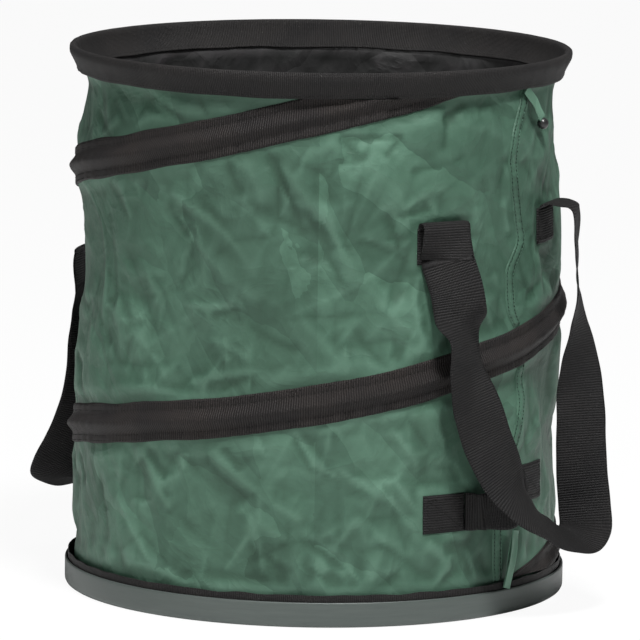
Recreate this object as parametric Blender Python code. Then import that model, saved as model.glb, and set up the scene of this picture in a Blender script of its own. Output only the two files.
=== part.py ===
"""Pop-up leaf bag: a fabric cylinder held open by a coiled spring wire in a sewn tape casing,
standing in a shallow plastic pan, with two long webbing handles, two short grips and two toggles.

Metres, +Z up. The origin is the middle of the pan's underside. Angles are in degrees round +Z,
counted from the front (-Y) towards +X.
"""

import math

import bmesh
import bpy
from mathutils import Matrix, Vector

# Driving sizes of the bag
BAG_HEIGHT = 0.5194
PAN_RADIUS = 0.240
RIDGE_INSET = 0.0075
BASE_INSET = 0.0090
FABRIC = 0.0015
TAPE_THICKNESS = 0.0010
WIRE_RADIUS = 0.0015
GAP = 0.0003
TINY = 0.00001

# Shape of the fabric wall
WAIST_DEPTH = 0.0065
WAIST_SPACING = 0.262
NECK_DEPTH = 0.0080
NECK_DROP = 0.0294
NECK_START_DROP = 0.1144
RIM_INSET = 0.0040
BASE_BLEND_LOW = 0.030
BASE_BLEND_HIGH = 0.100
TAPE_WIDTH = 0.038
TAPE_MARGIN = 0.001
TAPE_FLANGE_INNER = 0.0070
TAPE_RIDGE_HALF = 0.0018
SECTOR_COUNT = 48
MIDDLE_ROWS = 4

# How the coil climbs: angle in degrees, share of the wall's height
COIL_CLIMB_SHARES = (
    (-315, 0.0),
    (-285, 0.052),
    (-180, 0.182),
    (-70, 0.313),
    (0, 0.403),
    (68, 0.509),
    (180, 0.658),
    (308, 0.845),
    (360, 0.945),
    (390, 1.0),
)

# The pan under the bag
PAN_WALL = 0.0022
PAN_HEIGHT = 0.024
PAN_RECESS = 0.0040
PAN_HUB_RADIUS = 0.090
PAN_FOOT_WIDTH = 0.018
PAN_DRAFT = 0.0035
PAN_EDGE = 0.0030
PAN_LIP = 0.0008

# The hem, the rim band and what they hold
HEM_TOP = 0.031
HEM_INNER_HEIGHT = 0.0155
HEM_SLOT = 0.0073
RIM_BAND_HEIGHT = 0.0249
RIM_TOP_BAND = 0.0074
RIM_ROUND = 0.0010
RIM_SKIN = 0.0002
RIM_INNER_LIFT = 0.0010
WALL_TOP_DROP = 0.0124
FERRULE_WALL = 0.0006
FERRULE_LENGTH = 0.018
WIRE_STACK_GAP = 0.0005
PANEL_THICKNESS = 0.0010

# Rivets through the pan and the floor panel
RIVET_COUNT = 6
RIVET_CIRCLE = 0.160
RIVET_SHANK = 0.0020
RIVET_HEAD = 0.0070
RIVET_HEAD_HEIGHT = 0.0020
RIVET_TAIL = 0.0050
RIVET_SIDES = 12
CUT_OVERRUN = 0.004

# Long handles of wide webbing
WEBBING = 0.0016
HANDLE_WIDTH = 0.050
HANDLE_MIDDLE = 50.5
HANDLE_HALF_SPAN = 20.4
HANDLE_PATCH_HEIGHT = 0.034
HANDLE_FRONT_TOP = 0.372
HANDLE_REAR_TOP = 0.3780
HANDLE_FRONT_ARCH = 0.0055
HANDLE_REAR_ARCH = 0.0045
HANDLE_PIVOT = 0.371
HANDLE_FRONT_STAND = 0.0118
HANDLE_REAR_STAND = 0.0300
HANDLE_TAIL = 0.028
HANDLE_HANG = 0.285
HANDLE_STAND = 0.045
LEFT_TURN = 172.0
LEFT_HANG = 0.212
LEFT_STAND = 0.0535
LEFT_DROP = 0.072
LEFT_GRIP_DROP = 0.050

# Where the arches run: share of the way out, share of the arch's height
FRONT_ARCH_SHARES = ((0.0, 0.0), (0.08, 0.62), (0.30, 0.95), (0.55, 1.0), (0.85, 0.65), (1.0, 0.0))
REAR_ARCH_SHARES = ((0.0, 0.0), (0.06, 0.70), (0.24, 1.0), (0.55, 1.0), (0.84, 0.55), (0.97, -0.30), (1.0, 0.0))

# The hanging strap: share of the half span, share of the stand-off, share of the hang, then the
# webbing's width direction as shares along the chord, outwards and upwards
STRAP_ROUTE_SHARES = (
    (-0.93, 0.31, 0.095, 1.0, 0.0, 0.0),
    (-0.87, 0.36, 0.185, 1.0, 0.0, 0.0),
    (-0.83, 0.39, 0.280, 1.0, 0.0, 0.0),
    (-0.79, 0.42, 0.385, 1.0, 0.0, 0.05),
    (-0.68, 0.48, 0.490, 0.98, 0.0, 0.15),
    (-0.56, 0.60, 0.600, 0.92, -0.08, 0.30),
    (-0.43, 0.74, 0.705, 0.75, -0.25, 0.50),
    (-0.27, 0.88, 0.800, 0.45, -0.50, 0.70),
    (0.0, 1.02, 0.880, 0.15, -0.70, 0.70),
    (0.32, 1.12, 0.935, 0.0, -0.80, 0.60),
    (0.60, 1.18, 0.965, -0.15, -0.90, 0.40),
    (0.83, 1.18, 0.940, -0.45, -0.88, 0.10),
    (0.92, 1.10, 0.870, -0.60, -0.80, 0.0),
    (0.89, 1.00, 0.770, -0.66, -0.75, 0.0),
    (0.84, 0.90, 0.600, -0.72, -0.68, 0.0),
    (0.85, 0.84, 0.430, -0.80, -0.55, 0.0),
    (0.87, 0.80, 0.280, -0.90, -0.35, 0.0),
    (0.88, 0.75, 0.140, -0.97, -0.15, 0.0),
)
LEFT_ROUTE_SHARES = STRAP_ROUTE_SHARES[:11] + (
    (0.83, 1.18, 0.940, -0.45, -0.88, 0.10),
    (0.95, 1.02, 0.880, -0.60, -0.80, 0.0),
    (0.97, 0.78, 0.780, -0.72, -0.68, 0.0),
    (0.97, 0.54, 0.640, -0.85, -0.50, 0.0),
    (0.96, 0.40, 0.480, -0.95, -0.30, 0.0),
    (0.94, 0.38, 0.320, -0.99, -0.12, 0.0),
    (0.92, 0.46, 0.150, -1.0, 0.0, 0.0),
)
STRAP_STEPS = 2
TURN_LEAD_SHARE = 1.1

# Short grips of narrow webbing
GRIP_WIDTH = 0.036
GRIP_FRONT_PATCH = (26.3, 37.8)
GRIP_REAR_PATCH = (57.3, 69.4)
GRIP_FRONT_MIDDLE = 0.102
GRIP_REAR_MIDDLE = 0.118
GRIP_FRONT_END = 40.6
GRIP_REAR_END = 55.4
GRIP_STAND = 0.0100
GRIP_BULGE = 0.0090
GRIP_SAG = 0.0080
GRIP_SECTIONS = 10
GRIP_BEND_SHARES = (0.3, 0.7)

# Toggles on the rim and loops on the hem
TOGGLE_ANGLES = (61.0, 234.0)
TOGGLE_STRIP_WIDTH = 0.010
TOGGLE_STRIP_LENGTH = 0.024
TOGGLE_STRIP = 0.0008
TOGGLE_BALL_RADIUS = 0.0055
LOOP_ANGLES = (53.5, 231.0)
LOOP_WIDTH = 0.010
LOOP_HEIGHT = 0.055
LOOP_STRIP = 0.0007
LOOP_SPACE = 0.0010
LOOP_LEAN = 0.0020

# Sizes that follow from those above
SECTOR = 360.0 / SECTOR_COUNT
RIDGE_RADIUS = PAN_RADIUS - RIDGE_INSET
BASE_RADIUS = PAN_RADIUS - BASE_INSET
NECK_RADIUS = RIDGE_RADIUS - NECK_DEPTH
NECK_HEIGHT = BAG_HEIGHT - NECK_DROP
NECK_START_HEIGHT = BAG_HEIGHT - NECK_START_DROP
FLARE_SLOPE = (PAN_RADIUS - RIM_INSET - NECK_RADIUS) / NECK_DROP
PAN_FLOOR_TOP = PAN_RECESS + PAN_WALL
PAN_INNER = PAN_RADIUS - PAN_WALL
HEM_BOTTOM = PAN_FLOOR_TOP + GAP
HEM_OUTER = PAN_INNER - GAP - TINY
HEM_INNER = HEM_OUTER - HEM_SLOT - 2 * TAPE_THICKNESS
WALL_BOTTOM = HEM_BOTTOM + TAPE_THICKNESS + GAP
WALL_TOP = BAG_HEIGHT - WALL_TOP_DROP
WALL_HEIGHT = WALL_TOP - WALL_BOTTOM
RIM_BOTTOM = BAG_HEIGHT - RIM_BAND_HEIGHT
FERRULE_HALF = WIRE_RADIUS + GAP + FERRULE_WALL
WIRE_LIFT = FERRULE_HALF + GAP
BASE_RING_HEIGHT = HEM_BOTTOM + TAPE_THICKNESS + GAP + FERRULE_HALF
RIM_RING_HEIGHT = BAG_HEIGHT - TAPE_THICKNESS - GAP - FERRULE_HALF
WIRE_STACK = 2 * WIRE_RADIUS + WIRE_STACK_GAP
COIL_LOW = BASE_RING_HEIGHT + WIRE_STACK
COIL_HIGH = RIM_RING_HEIGHT - WIRE_STACK
COIL_START = COIL_CLIMB_SHARES[0][0]
COIL_END = COIL_CLIMB_SHARES[-1][0]
ROW_EDGE = TAPE_WIDTH / 2 + TAPE_MARGIN


def clear_scene():
    for item in list(bpy.data.objects):
        bpy.data.objects.remove(item, do_unlink=True)


def make_material(name, colour, roughness, metallic=0.0):
    material = bpy.data.materials.new(name)
    material.use_nodes = True
    shader = material.node_tree.nodes["Principled BSDF"]
    shader.inputs["Base Color"].default_value = (*colour, 1.0)
    shader.inputs["Roughness"].default_value = roughness
    shader.inputs["Metallic"].default_value = metallic
    material.diffuse_color = (*colour, 1.0)
    return material


def make_object(name, bm, material, smooth_angle=40.0):
    mesh = bpy.data.meshes.new(name)
    bmesh.ops.recalc_face_normals(bm, faces=bm.faces)
    bm.to_mesh(mesh)
    bm.free()
    mesh.shade_smooth()
    mesh.set_sharp_from_angle(angle=math.radians(smooth_angle))
    mesh.materials.append(material)
    made = bpy.data.objects.new(name, mesh)
    bpy.context.scene.collection.objects.link(made)
    return made


def carry(made, parent):
    """Hangs a moving piece on its joint's empty, left where it is."""
    made.parent = parent
    made.matrix_parent_inverse = parent.matrix_world.inverted()


def make_axis(name, place):
    empty = bpy.data.objects.new(name, None)
    bpy.context.scene.collection.objects.link(empty)
    empty.location = place
    empty.empty_display_size = TAPE_WIDTH
    bpy.context.view_layer.update()
    return empty


# Directions and places round the bag
def outward(angle):
    turn = math.radians(angle)
    return Vector((math.sin(turn), -math.cos(turn), 0.0))


def sideways(angle):
    turn = math.radians(angle)
    return Vector((math.cos(turn), math.sin(turn), 0.0))


def place(angle, radius, height):
    return outward(angle) * radius + Vector((0.0, 0.0, height))


def smooth_step(value, start, end):
    share = min(1.0, max(0.0, (value - start) / (end - start)))
    return share * share * (3.0 - 2.0 * share)


# The coil and the wall that it holds open
def coil_tangent(index):
    last = len(COIL_CLIMB_SHARES) - 1
    before = COIL_CLIMB_SHARES[max(0, index - 1)]
    after = COIL_CLIMB_SHARES[min(last, index + 1)]
    return (after[1] - before[1]) / (after[0] - before[0])


def coil_height(angle):
    """Height of the coil's line at this angle, which counts on through the turns."""
    angles = [station[0] for station in COIL_CLIMB_SHARES]
    index = 0
    while index < len(angles) - 2 and angle > angles[index + 1]:
        index += 1
    low, high = COIL_CLIMB_SHARES[index], COIL_CLIMB_SHARES[index + 1]
    span = high[0] - low[0]
    t = (angle - low[0]) / span
    if angle > COIL_END:
        share = high[1] + (angle - COIL_END) * coil_tangent(index + 1)
    elif angle < COIL_START:
        share = low[1] + (angle - COIL_START) * coil_tangent(0)
    else:
        share = (
            (1 + 2 * t) * (1 - t) ** 2 * low[1]
            + t * (1 - t) ** 2 * span * coil_tangent(index)
            + t * t * (3 - 2 * t) * high[1]
            + t * t * (t - 1) * span * coil_tangent(index + 1)
        )
    return WALL_BOTTOM + WALL_HEIGHT * share


def ridge_radius(height):
    """Outer radius of the wall where the wire or a ring holds it out."""
    radius = BASE_RADIUS + (RIDGE_RADIUS - BASE_RADIUS) * smooth_step(height, BASE_BLEND_LOW, BASE_BLEND_HIGH)
    radius -= NECK_DEPTH * smooth_step(height, NECK_START_HEIGHT, NECK_HEIGHT)
    if height > NECK_HEIGHT:
        radius += (height - NECK_HEIGHT) * FLARE_SLOPE
    return radius


def strip_rows(angle):
    """The rows, as height and outer radius, of the strip whose upper ridge is the coil here."""
    low = min(WALL_TOP, max(WALL_BOTTOM, coil_height(angle - 360)))
    high = max(WALL_BOTTOM, min(WALL_TOP, coil_height(angle)))
    height = high - low
    edge = min(ROW_EDGE, height / (MIDDLE_ROWS + 2))
    middle = height - 2 * edge
    heights = [low]
    heights += [low + edge + middle * step / MIDDLE_ROWS for step in range(MIDDLE_ROWS + 1)]
    heights.append(high)
    depth = WAIST_DEPTH * min(1.0, height / WAIST_SPACING) ** 2
    rows = []
    for level in heights:
        t = (level - low) / height if height > TINY else 0.0
        free = smooth_step(level, HEM_TOP, BASE_BLEND_HIGH) * smooth_step(level, RIM_BOTTOM, NECK_START_HEIGHT)
        rows.append((level, ridge_radius(level) - depth * free * 4 * t * (1 - t)))
    return rows


def wall_column(sector):
    """Every row of the wall at one column, from the bottom up."""
    rows = []
    turn = sector % SECTOR_COUNT * SECTOR - 360
    while turn <= COIL_END + 360:
        if turn >= COIL_START:
            rows += strip_rows(turn)
        turn += 360
    return sorted(rows)


COLUMNS = [wall_column(sector) for sector in range(SECTOR_COUNT)]


def column_radius(sector, height):
    rows = COLUMNS[sector % SECTOR_COUNT]
    for low, high in zip(rows, rows[1:]):
        if low[0] <= height <= high[0] and high[0] - low[0] > TINY:
            return low[1] + (high[1] - low[1]) * (height - low[0]) / (high[0] - low[0])
    return rows[0][1] if height < rows[0][0] else ridge_radius(height)


def wall_point(angle, height, lift):
    """A point this far off the wall's flat panel at an angle between two columns."""
    sector = math.floor(angle / SECTOR)
    share = angle / SECTOR - sector
    first = place(sector * SECTOR, column_radius(sector, height), height)
    second = place((sector + 1) * SECTOR, column_radius(sector + 1, height), height)
    half_turn = math.tan(math.radians(share * SECTOR - SECTOR / 2))
    along = 0.5 + half_turn / (2 * math.tan(math.radians(SECTOR / 2)))
    middle = outward((sector + 0.5) * SECTOR)
    return first.lerp(second, along) + middle * lift


def clear_radius(angle, low, high):
    """The wall's largest radius beside this angle between two heights, for a flat band to clear."""
    first = math.floor(angle / SECTOR)
    levels = (low, (low + high) / 2, high)
    return max(column_radius(sector, level) for sector in (first, first + 1) for level in levels)


def grid_faces(bm, rows):
    """Quads between neighbouring rows of points, all of one length."""
    for low, high in zip(rows, rows[1:]):
        for index in range(len(low) - 1):
            bm.faces.new((low[index], low[index + 1], high[index + 1], high[index]))


def split_quads(bm):
    """Splits every quad along its short diagonal, so that neighbouring and twisted faces bend along known lines."""
    bmesh.ops.triangulate(bm, faces=bm.faces, quad_method="SHORT_EDGE")


def make_wall(material):
    bm = bmesh.new()
    outer, inner = [], []
    steps = round((COIL_END + 360 - COIL_START) / SECTOR)
    for step in range(steps + 1):
        angle = COIL_START + step * SECTOR
        rows = strip_rows(angle)
        outer.append([bm.verts.new(place(angle, radius, level)) for level, radius in rows])
        inner.append([bm.verts.new(place(angle, radius - FABRIC, level)) for level, radius in rows])
    grid_faces(bm, outer)
    grid_faces(bm, inner)
    first_turn = slice(SECTOR_COUNT + 1)
    last_turn = slice(-SECTOR_COUNT - 1, None)
    for turn, row in ((first_turn, 0), (last_turn, -1)):
        grid_faces(bm, [[column[row] for column in skin[turn]] for skin in (outer, inner)])
    bmesh.ops.remove_doubles(bm, verts=bm.verts, dist=TINY)
    split_quads(bm)
    return make_object("body_wall", bm, material)


def turned(name, profile, material, closed=True, smooth_angle=30.0):
    """Spins a profile of radius and height round +Z, in the columns that all rings share."""
    bm = bmesh.new()
    verts = [bm.verts.new((0.0, -radius, height)) for radius, height in profile]
    pairs = list(zip(verts, verts[1:]))
    if closed:
        pairs.append((verts[-1], verts[0]))
    edges = [bm.edges.new(pair) for pair in pairs]
    bmesh.ops.spin(
        bm,
        geom=verts + edges,
        axis=(0, 0, 1),
        cent=(0, 0, 0),
        angle=2 * math.pi,
        steps=SECTOR_COUNT,
        use_merge=True,
    )
    bmesh.ops.remove_doubles(bm, verts=bm.verts, dist=TINY)
    return make_object(name, bm, material, smooth_angle)


def make_tape(material):
    """The casing tape: flanges on the wall either side of an open tunnel over the wire."""
    bm = bmesh.new()
    half = TAPE_WIDTH / 2
    apex = WIRE_LIFT + WIRE_RADIUS + GAP
    profile = (
        (-half, GAP + TAPE_THICKNESS),
        (-TAPE_FLANGE_INNER, GAP + TAPE_THICKNESS),
        (-TAPE_RIDGE_HALF, apex + TAPE_THICKNESS),
        (TAPE_RIDGE_HALF, apex + TAPE_THICKNESS),
        (TAPE_FLANGE_INNER, GAP + TAPE_THICKNESS),
        (half, GAP + TAPE_THICKNESS),
        (half, GAP),
        (TAPE_FLANGE_INNER - TAPE_THICKNESS / 2, GAP),
        (TAPE_RIDGE_HALF - TAPE_THICKNESS / 2, apex),
        (TAPE_THICKNESS / 2 - TAPE_RIDGE_HALF, apex),
        (TAPE_THICKNESS / 2 - TAPE_FLANGE_INNER, GAP),
        (-half, GAP),
    )
    rings = []
    steps = round((COIL_END - COIL_START) / SECTOR) + 1
    for step in range(steps + 1):
        angle = COIL_START + step * SECTOR
        sector = round(angle / SECTOR)
        middle = coil_height(angle)
        ring = []
        for offset, lift in profile:
            level = middle + offset
            ring.append(bm.verts.new(place(angle, column_radius(sector, level) + lift, level)))
        rings.append(ring + ring[:1])
    grid_faces(bm, rings)
    split_quads(bm)
    bm.faces.new(rings[0][:-1])
    bm.faces.new(rings[-1][:-1])
    bmesh.ops.recalc_face_normals(bm, faces=bm.faces)
    for level, normal in ((HEM_TOP + GAP, 1), (RIM_BOTTOM - GAP, -1)):
        cut = bmesh.ops.bisect_plane(
            bm,
            geom=bm.verts[:] + bm.edges[:] + bm.faces[:],
            dist=TINY / 10,
            plane_co=(0, 0, level),
            plane_no=(0, 0, -normal),
            clear_outer=True,
        )
        edges = [item for item in cut["geom_cut"] if isinstance(item, bmesh.types.BMEdge)]
        bmesh.ops.holes_fill(bm, edges=edges)
    return make_object("spring_casing", bm, material, 60.0)


def wire_tube(name, points, closed, material):
    curve = bpy.data.curves.new(name, "CURVE")
    curve.dimensions = "3D"
    curve.bevel_depth = WIRE_RADIUS
    curve.bevel_resolution = 1
    curve.use_fill_caps = not closed
    spline = curve.splines.new("POLY")
    spline.points.add(len(points) - 1)
    for target, point in zip(spline.points, points):
        target.co = (*point, 1.0)
    spline.use_cyclic_u = closed
    spline.use_smooth = True
    curve.materials.append(material)
    made = bpy.data.objects.new(name, curve)
    bpy.context.scene.collection.objects.link(made)
    return made


def coil_points():
    """The wire's middle: level in the ferrules at both ends, on the ridge between them."""
    points = []
    steps = round((COIL_END - COIL_START) / SECTOR) + 2
    for step in range(steps + 1):
        angle = COIL_START + step * SECTOR
        level = min(COIL_HIGH, max(COIL_LOW, coil_height(angle)))
        if step <= 1:
            level = COIL_LOW
        if step >= steps - 1:
            level = COIL_HIGH
        points.append(place(angle, ridge_radius(level) + WIRE_LIFT, level))
    return points


def least_self_gap(points):
    """The least clear distance between stretches of the wire a quarter turn or more apart."""
    apart = SECTOR_COUNT // 4
    least = BAG_HEIGHT
    for first, point in enumerate(points):
        for other in points[first + apart :]:
            least = min(least, (other - point).length)
    return least - 2 * WIRE_RADIUS


def ring_points(radius, height):
    return [place(sector * SECTOR, radius, height) for sector in range(SECTOR_COUNT)]


def make_ferrule(name, sector, radius, ring_height, coil_side, material):
    """A crimp over the ring wire and the coil's end, along one straight side of the ring."""
    middle_angle = (sector + 0.5) * SECTOR
    chord_radius = radius * math.cos(math.radians(SECTOR / 2))
    middle = place(middle_angle, chord_radius, ring_height + coil_side * WIRE_STACK / 2)
    along, across = sideways(middle_angle), outward(middle_angle)
    bm = bmesh.new()
    loops = []
    for reach in (-FERRULE_LENGTH / 2, FERRULE_LENGTH / 2):
        for size in (FERRULE_HALF, FERRULE_HALF - FERRULE_WALL):
            loop = []
            for turn in range(RIVET_SIDES):
                angle = 2 * math.pi * (turn + 0.5) / RIVET_SIDES
                width = size * math.cos(angle) / math.cos(math.pi / RIVET_SIDES)
                rise = size * math.sin(angle) / math.cos(math.pi / RIVET_SIDES)
                rise += math.copysign(WIRE_STACK / 2, rise)
                loop.append(bm.verts.new(middle + along * reach + across * width + Vector((0, 0, rise))))
            loops.append(loop + loop[:1])
    grid_faces(bm, [loops[0], loops[2]])
    grid_faces(bm, [loops[1], loops[3]])
    grid_faces(bm, [loops[0], loops[1]])
    grid_faces(bm, [loops[2], loops[3]])
    return make_object(name, bm, material)


def make_pan(material):
    foot_inner = PAN_RADIUS - PAN_FOOT_WIDTH
    profile = (
        (0.0, 0.0),
        (PAN_HUB_RADIUS, 0.0),
        (PAN_HUB_RADIUS + PAN_DRAFT, PAN_RECESS),
        (foot_inner, PAN_RECESS),
        (foot_inner + PAN_DRAFT, 0.0),
        (PAN_RADIUS - PAN_EDGE, 0.0),
        (PAN_RADIUS, PAN_EDGE),
        (PAN_RADIUS, PAN_HEIGHT - PAN_LIP),
        (PAN_RADIUS - PAN_LIP, PAN_HEIGHT),
        (PAN_INNER, PAN_HEIGHT),
        (PAN_INNER, PAN_FLOOR_TOP),
        (PAN_HUB_RADIUS + PAN_DRAFT - PAN_WALL / 2, PAN_FLOOR_TOP),
        (PAN_HUB_RADIUS - PAN_WALL / 2, PAN_WALL),
        (0.0, PAN_WALL),
    )
    return turned("base_pan", profile, material, closed=False)


def make_hem(material):
    floor = HEM_BOTTOM + TAPE_THICKNESS
    profile = (
        (HEM_OUTER, HEM_BOTTOM),
        (HEM_OUTER, HEM_TOP),
        (HEM_OUTER - TAPE_THICKNESS, HEM_TOP),
        (HEM_OUTER - TAPE_THICKNESS, floor),
        (HEM_INNER + TAPE_THICKNESS, floor),
        (HEM_INNER + TAPE_THICKNESS, HEM_BOTTOM + HEM_INNER_HEIGHT),
        (HEM_INNER, HEM_BOTTOM + HEM_INNER_HEIGHT),
        (HEM_INNER, HEM_BOTTOM),
    )
    return turned("base_hem", profile, material)


def make_rim_band(material):
    """The band folded over the rim wire: its outer leg flares, its inner one follows the wall."""
    top_in = BAG_HEIGHT - TAPE_THICKNESS
    top_low = BAG_HEIGHT - RIM_TOP_BAND
    slot_low = ridge_radius(RIM_BOTTOM) + WIRE_LIFT + WIRE_RADIUS + GAP
    inner_low = RIM_BOTTOM + RIM_INNER_LIFT
    lining = FABRIC + GAP
    shoulder = (WALL_TOP + RIM_RING_HEIGHT) / 2
    inside = (
        (ridge_radius(inner_low) - lining, inner_low),
        (ridge_radius(WALL_TOP) - lining, WALL_TOP),
        (ridge_radius(shoulder) - FERRULE_WALL, shoulder),
        (ridge_radius(shoulder) - FERRULE_WALL + TINY, top_in),
    )
    profile = [
        (slot_low + TAPE_THICKNESS, RIM_BOTTOM),
        (PAN_RADIUS - RIM_SKIN, top_low),
        (PAN_RADIUS - RIM_SKIN, BAG_HEIGHT - RIM_ROUND),
        (PAN_RADIUS - RIM_SKIN - RIM_ROUND, BAG_HEIGHT),
        (inside[3][0] - TAPE_THICKNESS + RIM_ROUND, BAG_HEIGHT),
        (inside[3][0] - TAPE_THICKNESS, BAG_HEIGHT - RIM_ROUND),
        (inside[2][0] - TAPE_THICKNESS, inside[2][1]),
        (inside[1][0] - TAPE_THICKNESS, inside[1][1]),
        (inside[0][0] - TAPE_THICKNESS, inside[0][1]),
    ]
    profile += inside
    profile += [
        (PAN_RADIUS - RIM_SKIN - TAPE_THICKNESS, top_in),
        (PAN_RADIUS - RIM_SKIN - TAPE_THICKNESS, top_low),
        (slot_low, RIM_BOTTOM),
    ]
    return turned("rim_band", profile, material)


def rivet_places():
    return [place(360.0 * index / RIVET_COUNT, RIVET_CIRCLE, 0.0) for index in range(RIVET_COUNT)]


def make_rivet(index, middle, material):
    tail_top = PAN_RECESS - GAP
    head_low = HEM_BOTTOM + PANEL_THICKNESS + GAP
    profile = (
        (0.0, tail_top - RIVET_HEAD_HEIGHT),
        (RIVET_TAIL, tail_top - RIVET_HEAD_HEIGHT),
        (RIVET_TAIL, tail_top),
        (RIVET_SHANK, tail_top),
        (RIVET_SHANK, head_low),
        (RIVET_HEAD, head_low),
        (RIVET_HEAD - RIVET_HEAD_HEIGHT / 2, head_low + RIVET_HEAD_HEIGHT * 3 / 4),
        (0.0, head_low + RIVET_HEAD_HEIGHT),
    )
    bm = bmesh.new()
    verts = [bm.verts.new(middle + Vector((radius, 0.0, height))) for radius, height in profile]
    edges = [bm.edges.new(pair) for pair in zip(verts, verts[1:])]
    bmesh.ops.spin(
        bm,
        geom=verts + edges,
        axis=(0, 0, 1),
        cent=middle,
        angle=2 * math.pi,
        steps=RIVET_SIDES,
        use_merge=True,
    )
    bmesh.ops.remove_doubles(bm, verts=bm.verts, dist=TINY)
    return make_object(f"floor_rivet_{index}", bm, material)


def make_rivet_cutter():
    bm = bmesh.new()
    for middle in rivet_places():
        bmesh.ops.create_cone(
            bm,
            cap_ends=True,
            segments=RIVET_SIDES,
            radius1=RIVET_SHANK + GAP,
            radius2=RIVET_SHANK + GAP,
            depth=2 * (PAN_FLOOR_TOP + CUT_OVERRUN),
            matrix=Matrix.Translation(middle),
        )
    mesh = bpy.data.meshes.new("rivet_cutter")
    bm.to_mesh(mesh)
    bm.free()
    cutter = bpy.data.objects.new("rivet_cutter", mesh)
    cutter.hide_render = True
    cutter.display_type = "WIRE"
    bpy.context.scene.collection.objects.link(cutter)
    return cutter


def cut_with(made, cutter):
    boolean = made.modifiers.new("rivet holes", "BOOLEAN")
    boolean.operation = "DIFFERENCE"
    boolean.solver = "EXACT"
    boolean.object = cutter


def make_floor_panel(material):
    radius = HEM_INNER - GAP
    profile = (
        (0.0, HEM_BOTTOM),
        (radius, HEM_BOTTOM),
        (radius, HEM_BOTTOM + PANEL_THICKNESS),
        (0.0, HEM_BOTTOM + PANEL_THICKNESS),
    )
    return turned("floor_panel", profile, material, closed=False)


# Webbing
def ribbon(name, stations, width, thickness, material):
    """A flat band swept through stations of middle, width direction and face direction."""
    bm = bmesh.new()
    rings = []
    for middle, side, face in stations:
        ring = []
        for across, through in ((-0.5, -0.5), (0.5, -0.5), (0.5, 0.5), (-0.5, 0.5)):
            ring.append(bm.verts.new(middle + side * width * across + face * thickness * through))
        rings.append(ring + ring[:1])
    grid_faces(bm, rings)
    bm.faces.new(rings[0][:-1])
    bm.faces.new(rings[-1][:-1])
    split_quads(bm)
    return make_object(name, bm, material, 60.0)


def catmull(points, steps):
    """Points on a smooth curve through these, with this many steps between two."""
    found = []
    for index in range(len(points) - 1):
        before = points[max(0, index - 1)]
        first, second = points[index], points[index + 1]
        after = points[min(len(points) - 1, index + 2)]
        for step in range(steps):
            t = step / steps
            found.append(
                first
                + (second - before) * (t / 2)
                + (before * 2 - first * 5 + second * 4 - after) * (t * t / 2)
                + (first * 3 - before - second * 3 + after) * (t**3 / 2)
            )
    found.append(points[-1])
    return found


def framed(middles, hints, start=None, end=None):
    """Stations for a ribbon: each hint is squared to the route, whose end directions may be set."""
    stations = []
    last = len(middles) - 1
    for index, (middle, hint) in enumerate(zip(middles, hints)):
        along = (middles[min(last, index + 1)] - middles[max(0, index - 1)]).normalized()
        if index == 0 and start is not None:
            along = start.normalized()
        if index == last and end is not None:
            along = end.normalized()
        side = (hint - along * hint.dot(along)).normalized()
        stations.append((middle, side, side.cross(along).normalized()))
    return stations


def sewn_patch(name, angles, bottom, top, material):
    """A rectangle of webbing sewn flat on the wall, bent along the wall's own columns."""
    bm = bmesh.new()
    stops = [angles[0]]
    stops += [
        sector * SECTOR
        for sector in range(math.ceil(angles[0] / SECTOR), math.floor(angles[1] / SECTOR) + 1)
        if angles[0] + SECTOR / 20 < sector * SECTOR < angles[1] - SECTOR / 20
    ]
    stops.append(angles[1])
    rings = []
    for angle in stops:
        ring = []
        for level, lift in ((bottom, GAP), (top, GAP), (top, GAP + WEBBING), (bottom, GAP + WEBBING)):
            ring.append(bm.verts.new(wall_point(angle, level, lift)))
        rings.append(ring + ring[:1])
    grid_faces(bm, rings)
    bm.faces.new(rings[0][:-1])
    bm.faces.new(rings[-1][:-1])
    return make_object(name, bm, material, 60.0)


def handle_facts(side):
    """One long handle's middle angle, how far it is lowered, and its strap's hang, stand and route."""
    if side == "right":
        return HANDLE_MIDDLE, 0.0, HANDLE_HANG, HANDLE_STAND, STRAP_ROUTE_SHARES
    return HANDLE_MIDDLE + LEFT_TURN, LEFT_DROP, LEFT_HANG, LEFT_STAND, LEFT_ROUTE_SHARES


def handle_pivots(side):
    """The middles of the two edges, on the webbing's outer face, that the strap swings about."""
    middle, drop = handle_facts(side)[:2]
    pivots = []
    height = HANDLE_PIVOT - drop
    for sign, top, stand in ((-1, HANDLE_FRONT_TOP, HANDLE_FRONT_STAND), (1, HANDLE_REAR_TOP, HANDLE_REAR_STAND)):
        angle = middle + sign * HANDLE_HALF_SPAN
        radius = clear_radius(angle, top - drop, height) + GAP + WEBBING / 2
        pivots.append(place(angle, radius + stand, height) + outward(middle) * WEBBING / 2)
    return pivots


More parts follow.
